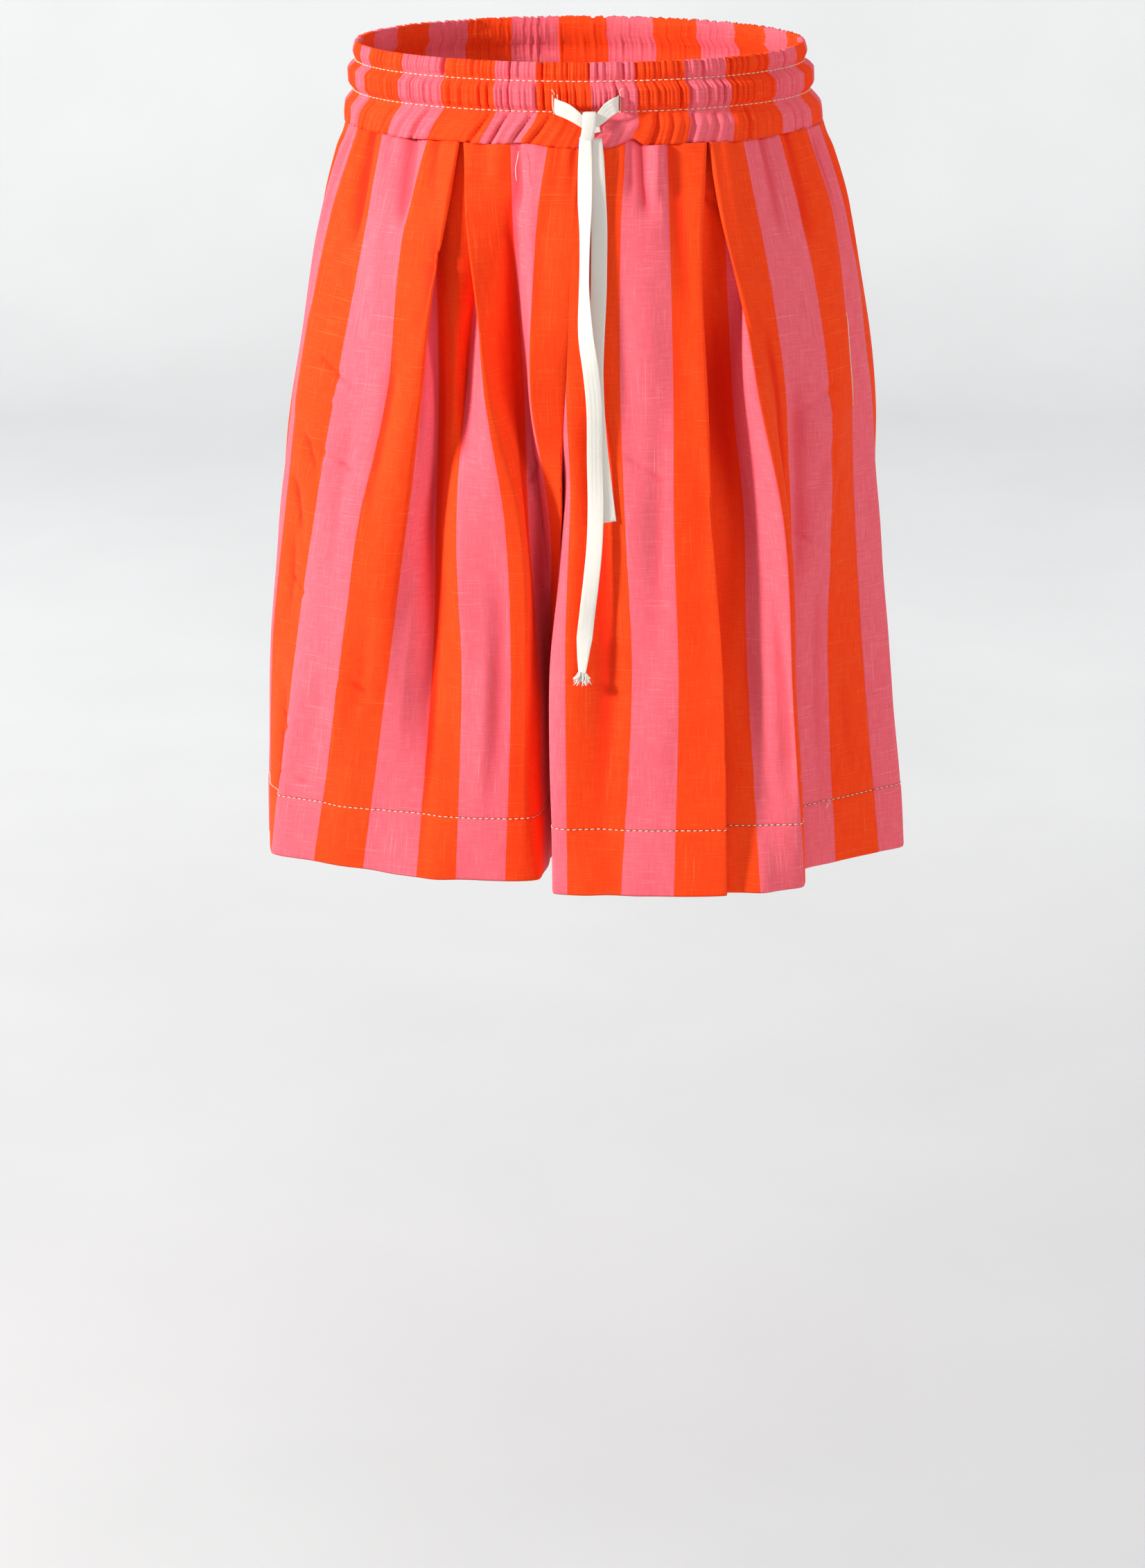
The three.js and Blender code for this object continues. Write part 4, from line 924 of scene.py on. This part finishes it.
def band_stripes(angle, height):
    """Stripe count at each place, two to a repeat, from where each stripe starts round the ring."""
    step = (360 + BAND_EDGES[0] - BAND_EDGES[-1]) / BACK_STRIPES
    edges = np.array(BAND_EDGES + [BAND_EDGES[-1] + step * (k + 1) for k in range(BACK_STRIPES)])
    lean = smooth_at(LEAN_ANGLES, LEAN, np.degrees(angle)) * ease((ROW_LOW - height) / 26)
    turned = np.degrees(angle) + np.degrees(lean / 150)
    turned = np.where(turned < edges[0], turned + 360, turned)
    return np.interp(turned, edges, np.arange(len(edges)) / 2)


# Operators


class SHORTS_OT_stage(bpy.types.Operator):
    """Camera, backdrop and soft studio light."""

    bl_idname = "shorts.stage"
    bl_label = "Stage"

    CAMERA_AT = (-0.006, -2.8, 0.4413)
    CAMERA_TILT = 71.07
    LENS_SHARE = 5833 / 2263
    BODY = (0, 0, -0.25)
    WALL = (0, 4.6, -0.3)
    LIGHTS = [
        ("key", (-3.1, -1.5, 1.2), BODY, 0.5, 190, (1.0, 0.985, 0.96)),
        ("fill", (2.6, -2.2, 0.5), BODY, 1.8, 44, (1.0, 0.98, 0.97)),
        ("top", (0.0, -0.4, 2.4), BODY, 1.6, 8, (1.0, 1.0, 1.0)),
        ("wall_left", (-2.4, 1.9, 1.0), WALL, 1.6, 58, (1.0, 1.0, 1.0)),
        ("wall_right", (2.4, 1.9, 1.0), WALL, 1.6, 53, (1.0, 1.0, 1.0)),
    ]

    def execute(self, context):
        scene = context.scene
        camera = bpy.data.objects.new("camera", bpy.data.cameras.new("camera"))
        camera.data.sensor_fit = "VERTICAL"
        camera.data.sensor_height = 36
        camera.data.lens = 36 * self.LENS_SHARE
        camera.location = self.CAMERA_AT
        camera.rotation_euler = (np.radians(self.CAMERA_TILT), 0, 0)
        scene.collection.objects.link(camera)
        scene.camera = camera
        for name, place, target, size, power, colour in self.LIGHTS:
            lamp = bpy.data.lights.new(name, "AREA")
            lamp.shape = "DISK"
            lamp.size = size
            lamp.energy = power
            lamp.color = colour
            holder = bpy.data.objects.new(name, lamp)
            holder.location = place
            aim = Vector(target) - Vector(place)
            holder.rotation_euler = aim.to_track_quat("-Z", "Y").to_euler()
            scene.collection.objects.link(holder)
        world = bpy.data.worlds.new("studio")
        world.use_nodes = True
        world.node_tree.nodes["Background"].inputs[0].default_value = (0.93, 0.94, 0.96, 1)
        world.node_tree.nodes["Background"].inputs[1].default_value = 0.33
        scene.world = world
        scene.view_settings.view_transform = "Standard"
        self.add_backdrop()
        return {"FINISHED"}

    def add_backdrop(self):
        """A floor that turns up into a wall through a quarter circle."""
        floor, bend, wall, half = -1150, 900, 4600, 4600
        a = np.linspace(0, np.pi / 2, 24)
        y = np.concatenate([[-4600], wall - bend + bend * np.sin(a), [wall]])
        z = np.concatenate([[floor], floor + bend - bend * np.cos(a), [floor + 4200]])
        x = np.linspace(-half, half, 9)
        points = np.stack(np.broadcast_arrays(x[None], y[:, None], z[:, None]), axis=-1).reshape(-1, 3)
        mesh = bpy.data.meshes.new("backdrop")
        mesh.from_pydata((points * MM).tolist(), [], grid_quads(len(y), len(x))[:, ::-1].tolist())
        mesh.shade_smooth()
        mesh.materials.append(backdrop_material())
        backdrop = bpy.data.objects.new("backdrop", mesh)
        bpy.context.scene.collection.objects.link(backdrop)


class SHORTS_OT_drawstring(bpy.types.Operator):
    """Cotton drawstring: the tape out of both buttonholes, the half knot, two free tails and a frayed end."""

    bl_idname = "shorts.drawstring"
    bl_label = "Drawstring"

    SIDEWAYS = (1, 0, 0)
    UPRIGHT = (0, 0, 1)
    LONG_STEPS = 190
    SHORT_STEPS = 140
    FRAY = 44

    def execute(self, context):
        tape = cotton()
        run = np.linspace(0, 1, self.LONG_STEPS)
        narrow = np.interp(run, [0, 0.04, 0.12, 0.93, 0.975, 1], [8, 9.5, TAPE_WIDTH, TAPE_WIDTH, 7.5, 5])
        long_tail, line, length = tape_object(
            "drawstring_tail_long_tape", self.turned(TAIL_LONG, TAIL_LONG_TURN), self.SIDEWAYS, tape,
            widths=narrow, steps=self.LONG_STEPS,
        )
        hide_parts("drawstring_tail_long")
        fray = self.add_fray(line[-1])
        run = np.linspace(0, 1, self.SHORT_STEPS)
        wide = np.interp(run, [0, 0.05, 0.2, 1], [8, 9.5, TAPE_WIDTH, TAPE_WIDTH])
        short_tail, line, length = tape_object(
            "drawstring_tail_short_tape", self.turned(TAIL_SHORT, TAIL_SHORT_TURN), self.SIDEWAYS, tape,
            widths=wide, steps=self.SHORT_STEPS,
        )
        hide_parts("drawstring_tail_short")
        squeezed = np.interp(np.linspace(0, 1, 40), [0, 0.5, 1], [10.5, 10, 6.5])
        left, _, _ = tape_object(
            "drawstring_bridge_left_tape", BRIDGE_LEFT, self.UPRIGHT, tape, widths=squeezed, steps=40
        )
        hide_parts("drawstring_bridge_left")
        right, _, _ = tape_object(
            "drawstring_bridge_right_tape", BRIDGE_RIGHT, self.UPRIGHT, tape, widths=squeezed, steps=40
        )
        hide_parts("drawstring_bridge_right")
        wrap = np.interp(np.linspace(0, 1, 60), [0, 0.3, 0.6, 1], [9, 8.5, 9.5, 8.5])
        knot, _, _ = tape_object(
            "drawstring_knot_wrap", KNOT_WRAP, self.SIDEWAYS, tape, widths=wrap, thick=1.5, bow=0.5, steps=60
        )
        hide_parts("drawstring_knot")
        return {"FINISHED"}

    def turned(self, route, turns):
        """A route in millimetres with the tape's turn beside each point."""
        return np.column_stack([np.array(route) / MM, turns])

    def add_fray(self, end):
        """Loose yarns that fan out of the tape's end, each bent its own way."""
        rng = np.random.default_rng(7)
        routes = []
        for _ in range(self.FRAY):
            side = rng.uniform(-1, 1)
            reach = rng.uniform(5, 11)
            root = end + np.array([side * 2.2, rng.uniform(-0.5, 0.5), 1.5])
            middle = root + np.array([side * 2.4 + rng.uniform(-1, 1), rng.uniform(-1.6, 0.8), -reach * 0.5])
            tip = middle + np.array([side * 2.6 + rng.uniform(-2, 2), rng.uniform(-1.5, 1), -reach * 0.42])
            routes.append([root, middle, tip])
        points, quads = strand_points(routes, 0.38, steps=7, sides=4)
        uv = points[:, [0, 2]]
        return mesh_object("drawstring_frayed_end", points, quads, uv, cotton())


class SHORTS_OT_panels(bpy.types.Operator):
    """The two fronts and two backs, as thin shells with pleats, gathers, creases and turned hems."""

    bl_idname = "shorts.panels"
    bl_label = "Fronts and backs"

    def execute(self, context):
        sizes = context.scene.shorts_sizes
        for name in PANELS:
            self.add_panel(name, sizes)
        return {"FINISHED"}

    def add_panel(self, name, sizes):
        """One panel: two skins of a middle surface, closer together at the fold of the hem."""
        panel = PANELS[name]
        half = sizes.cloth / MM / 2
        hem_line = HEM_FOLD + sizes.hem / MM
        repeat = 2 * sizes.stripe / MM
        middle, flats, heights = panel_middle(name, sizes)
        middle, flats = with_lips(middle, flats, panel["turn"])
        out = directions(middle, panel["turn"])
        turned = np.where(heights <= hem_line + 3, 0.8, 0)[:, None, None]
        folded = (heights == HEM_FOLD)[:, None, None]
        outer = middle + out * np.where(folded, half * 0.2, half)
        inner = middle - out * np.where(folded, half + 0.5, half + turned)
        inner[..., 2] += np.where(folded, 0.35, 0)[..., 0]
        tall = np.broadcast_to(heights[:, None], flats.shape)
        uv = np.stack([(flats - ORANGE_STARTS[name]) / repeat + 10, tall / repeat], axis=-1)
        points, quads, uv = shell(outer, inner, uv)
        # Painted shade: how deep each point of the outer skin lies in a fold, which darkens the linen there;
        # the inner skin gets none
        outer_fold_shade = fold_shade_share(middle, out, (1, 3, 6), 0.22)
        folds = np.concatenate([outer_fold_shade, outer_fold_shade * 0])
        piece = mesh_object(name + "_linen", points, quads, uv, linen(), folds)
        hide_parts(name)


class SHORTS_OT_pockets(bpy.types.Operator):
    """The strip of pocket bag that shows in each side opening."""

    bl_idname = "shorts.pockets"
    bl_label = "Pockets"

    REACH = 17
    PAST = 5

    def execute(self, context):
        sizes = context.scene.shorts_sizes
        repeat = 2 * sizes.stripe / MM
        for side in ("right", "left"):
            front = "front_" + side
            places = FRONT_WIDTH - np.linspace(self.REACH, 0, 12)
            middle, flats, heights = panel_middle(front, sizes, places=places, setback=1.1, pocket=False)
            shown = (heights < POCKET_TOP + self.PAST) & (heights > POCKET_BOTTOM - self.PAST)
            middle, flats, heights = middle[shown], flats[shown], heights[shown]
            out = directions(middle, PANELS[front]["turn"])
            outer, inner = middle - out * 1.2, middle - out * 2.0
            tall = np.broadcast_to(heights[:, None], flats.shape)
            uv = np.stack([(flats - 20) / repeat + 10, tall / repeat], axis=-1)
            points, quads, uv = shell(outer, inner, uv)
            node = "pocket_facing_" + side
            piece = mesh_object(node + "_linen", points, quads, uv, linen())
            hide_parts(node)
        return {"FINISHED"}


class SHORTS_OT_waistband(bpy.types.Operator):
    """The gathered waistband with its heading, channel and lower level."""

    bl_idname = "shorts.waistband"
    bl_label = "Waistband"

    COLUMNS = 1960

    def execute(self, context):
        sizes = context.scene.shorts_sizes
        angle = np.linspace(-np.pi, np.pi, self.COLUMNS, endpoint=False)[None]
        up = np.concatenate([np.linspace(WAIST_SEAM, ROW_LOW, 11), np.linspace(ROW_LOW, ROW_HIGH, 15)[1:],
                             np.linspace(ROW_HIGH, 23.4, 9)[1:]])[:, None]
        outer = band_points(angle, up, sizes.tucks)
        down = np.array([23.1, 17, 11, 4, -3, -9, -20, WAIST_SEAM + 0.3])[:, None]
        wall = BAND_WALL + 2 * ease((-20 - down) / 11)
        inner = band_points(angle, down, sizes.tucks, inward=wall, smooth=0.3)
        under = band_points(angle, up[:1], sizes.tucks, inward=1.2)
        points = np.concatenate([outer, inner, under])
        tall = np.concatenate([up, down, up[:1]])
        stripes = band_stripes(angle, tall)
        repeat = 2 * sizes.stripe / MM
        uv = np.stack([stripes, np.broadcast_to(tall / repeat, stripes.shape)], axis=-1).reshape(-1, 2)
        quads = grid_quads(len(points), self.COLUMNS, wrap_rows=True, wrap_columns=True)
        # Painted shade: how deep each point of the band's outer face lies in a tuck, which darkens the linen
        # there
        folds = np.zeros(points.shape[:2])
        folds[:len(outer)] = fold_shade_share(outer, directions(outer, -1), (2, 4), 0.5)
        piece = mesh_object(
            "waistband_linen", points.reshape(-1, 3), quads, uv, linen(), folds
        )
        mend_seam_uv(piece, (len(BAND_EDGES) + BACK_STRIPES - 1) / 2)
        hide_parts("waistband")
        return {"FINISHED"}


def mend_seam_uv(piece, turn):
    """Faces across the place where the stripe count starts again get the count run on."""
    layer = piece.data.uv_layers["cloth"].data
    uv = np.empty(len(layer) * 2, np.float32)
    layer.foreach_get("uv", uv)
    u = uv.reshape(-1, 4, 2)[..., 0]
    across = u.max(1) - u.min(1) > turn / 2
    u[across] += np.where(u[across] < turn / 2, turn, 0)
    layer.foreach_set("uv", uv)


class SHORTS_OT_stitching(bpy.types.Operator):
    """Rows of straight stitching on the waistband and hems, the buttonholes and a few loose threads."""

    bl_idname = "shorts.stitching"
    bl_label = "Stitching"

    def execute(self, context):
        sizes = context.scene.shorts_sizes
        length = sizes.stitch / MM
        self.add_band_rows(sizes, length)
        self.add_hem_rows(sizes, length)
        self.add_pocket_edges(sizes)
        self.add_buttonholes(sizes)
        self.add_loose_threads()
        return {"FINISHED"}

    def finish(self, name, parts):
        """Joins several sets of points and quads into one piece of thread."""
        start, points, quads = 0, [], []
        for some, faces in parts:
            points.append(some)
            quads.append(faces + start)
            start += len(some)
        points = np.concatenate(points)
        return mesh_object(name, points, np.concatenate(quads), points[:, [0, 2]], thread())

    def add_band_rows(self, sizes, length):
        """The two rows round the waistband, over and under the channel."""
        angle = np.linspace(-np.pi, np.pi, 2400)[None]
        for name, row in (("high", ROW_HIGH), ("low", ROW_LOW)):
            near = np.array([[row - 0.5], [row], [row + 0.5]], float)
            around = band_points(angle, near, sizes.tucks, inward=-0.15, smooth=0.45)
            out = directions(around, -1)
            line = around[1]
            if np.sum(out[1] * (line - line.mean(0))) < 0:
                out = -out
            parts = [stitch_mesh(line, out[1], length, 1.0, 0.8, 0.5)]
            self.finish("waistband_stitching_" + name, parts)

    def add_hem_rows(self, sizes, length):
        """One row round each leg."""
        hem_line = HEM_FOLD + sizes.hem / MM
        for side in ("right", "left"):
            parts = []
            for name in ("front_" + side, "back_" + side):
                middle, _, heights = panel_middle(name, sizes)
                out = directions(middle, PANELS[name]["turn"])
                row = int(np.argmin(np.abs(heights - hem_line)))
                line = middle[row] + out[row] * (sizes.cloth / MM / 2)
                parts.append(stitch_mesh(line[1:-1], out[row][1:-1], length, 1.0, 0.75, 0.45))
            self.finish("hem_stitching_" + side, parts)

    def add_pocket_edges(self, sizes):
        """A pale cream strand along the front edge of each pocket opening."""
        routes = []
        for side in ("right", "left"):
            name = "front_" + side
            middle, _, heights = panel_middle(name, sizes)
            out = directions(middle, PANELS[name]["turn"])
            shown = (heights < POCKET_TOP - 7) & (heights > POCKET_BOTTOM + 6)
            routes.append(middle[shown, -1] + out[shown, -1] * (0.55 if side == "right" else -0.4))
        parts = [strand_points([route[::2]], 0.42, steps=60, sides=6) for route in routes]
        self.finish("pocket_edges", parts)

    def add_buttonholes(self, sizes):
        """Bars of close stitches down both sides of each slot."""
        parts = []
        for x, z in HOLES:
            for side in (-1, 1):
                tall = np.arange(-HOLE_HALF, HOLE_HALF + 0.1, 0.75) + z
                for z_here in tall:
                    ends = np.array([x + side * 0.9, x + side * 2.3])
                    angle = np.arcsin(ends / 160)[None]
                    bar = band_points(angle, np.array([[z_here]]), sizes.tucks)[0]
                    bar[:, 1] -= 0.25
                    out = np.array([[0.0, -1.0, 0.0]] * 2)
                    parts.append(stitch_mesh(bar, out, 1.3, 0.05, 0.6, 0.2))
        self.finish("buttonhole_stitching", parts)

    def add_loose_threads(self):
        """The thread under the waistband, a tangle at the right hem and the ends at the buttonholes."""
        routes = [
            [(-42, -112.6, -34), (-42.6, -114.8, -38), (-44.0, -117, -45), (-43.4, -119.5, -53)],
            [
                (172.5, -88, -507), (174.4, -91.5, -504), (177, -90.8, -500), (176.2, -87.4, -503),
                (174, -88, -508),
            ],
            [(-17.8, -111, 3.0), (-18.6, -112.6, 5.2), (-20, -112.2, 6.8)],
            [(24.8, -111, 4.2), (25.8, -112.4, 6.6), (27.2, -111.8, 7.6)],
        ]
        parts = [strand_points([route], 0.28, steps=16, sides=4) for route in routes]
        self.finish("loose_threads", parts)


class SHORTS_PT_panel(bpy.types.Panel):
    """Sizes of the shorts and the steps that make them."""

    bl_idname = "SHORTS_PT_panel"
    bl_label = "Striped linen shorts"
    bl_space_type = "VIEW_3D"
    bl_region_type = "UI"
    bl_category = "Shorts"

    def draw(self, context):
        sizes = context.scene.shorts_sizes
        for name in ("stripe", "cloth", "hem", "stitch", "tucks", "orange", "pink", "cotton"):
            self.layout.prop(sizes, name)
        for step in STEPS:
            self.layout.operator(step.bl_idname)


STEPS = (
    SHORTS_OT_stage,
    SHORTS_OT_drawstring,
    SHORTS_OT_panels,
    SHORTS_OT_pockets,
    SHORTS_OT_waistband,
    SHORTS_OT_stitching,
)
CLASSES = (ShortsSizes, *STEPS, SHORTS_PT_panel)


def register():
    for one in CLASSES:
        bpy.utils.register_class(one)
    bpy.types.Scene.shorts_sizes = bpy.props.PointerProperty(type=ShortsSizes)


def unregister():
    del bpy.types.Scene.shorts_sizes
    for one in reversed(CLASSES):
        bpy.utils.unregister_class(one)


def main():
    """Runs each step once."""
    register()
    bpy.ops.shorts.stage()
    bpy.ops.shorts.drawstring()
    bpy.ops.shorts.panels()
    bpy.ops.shorts.pockets()
    bpy.ops.shorts.waistband()
    bpy.ops.shorts.stitching()


if __name__ == "__main__":
    main()
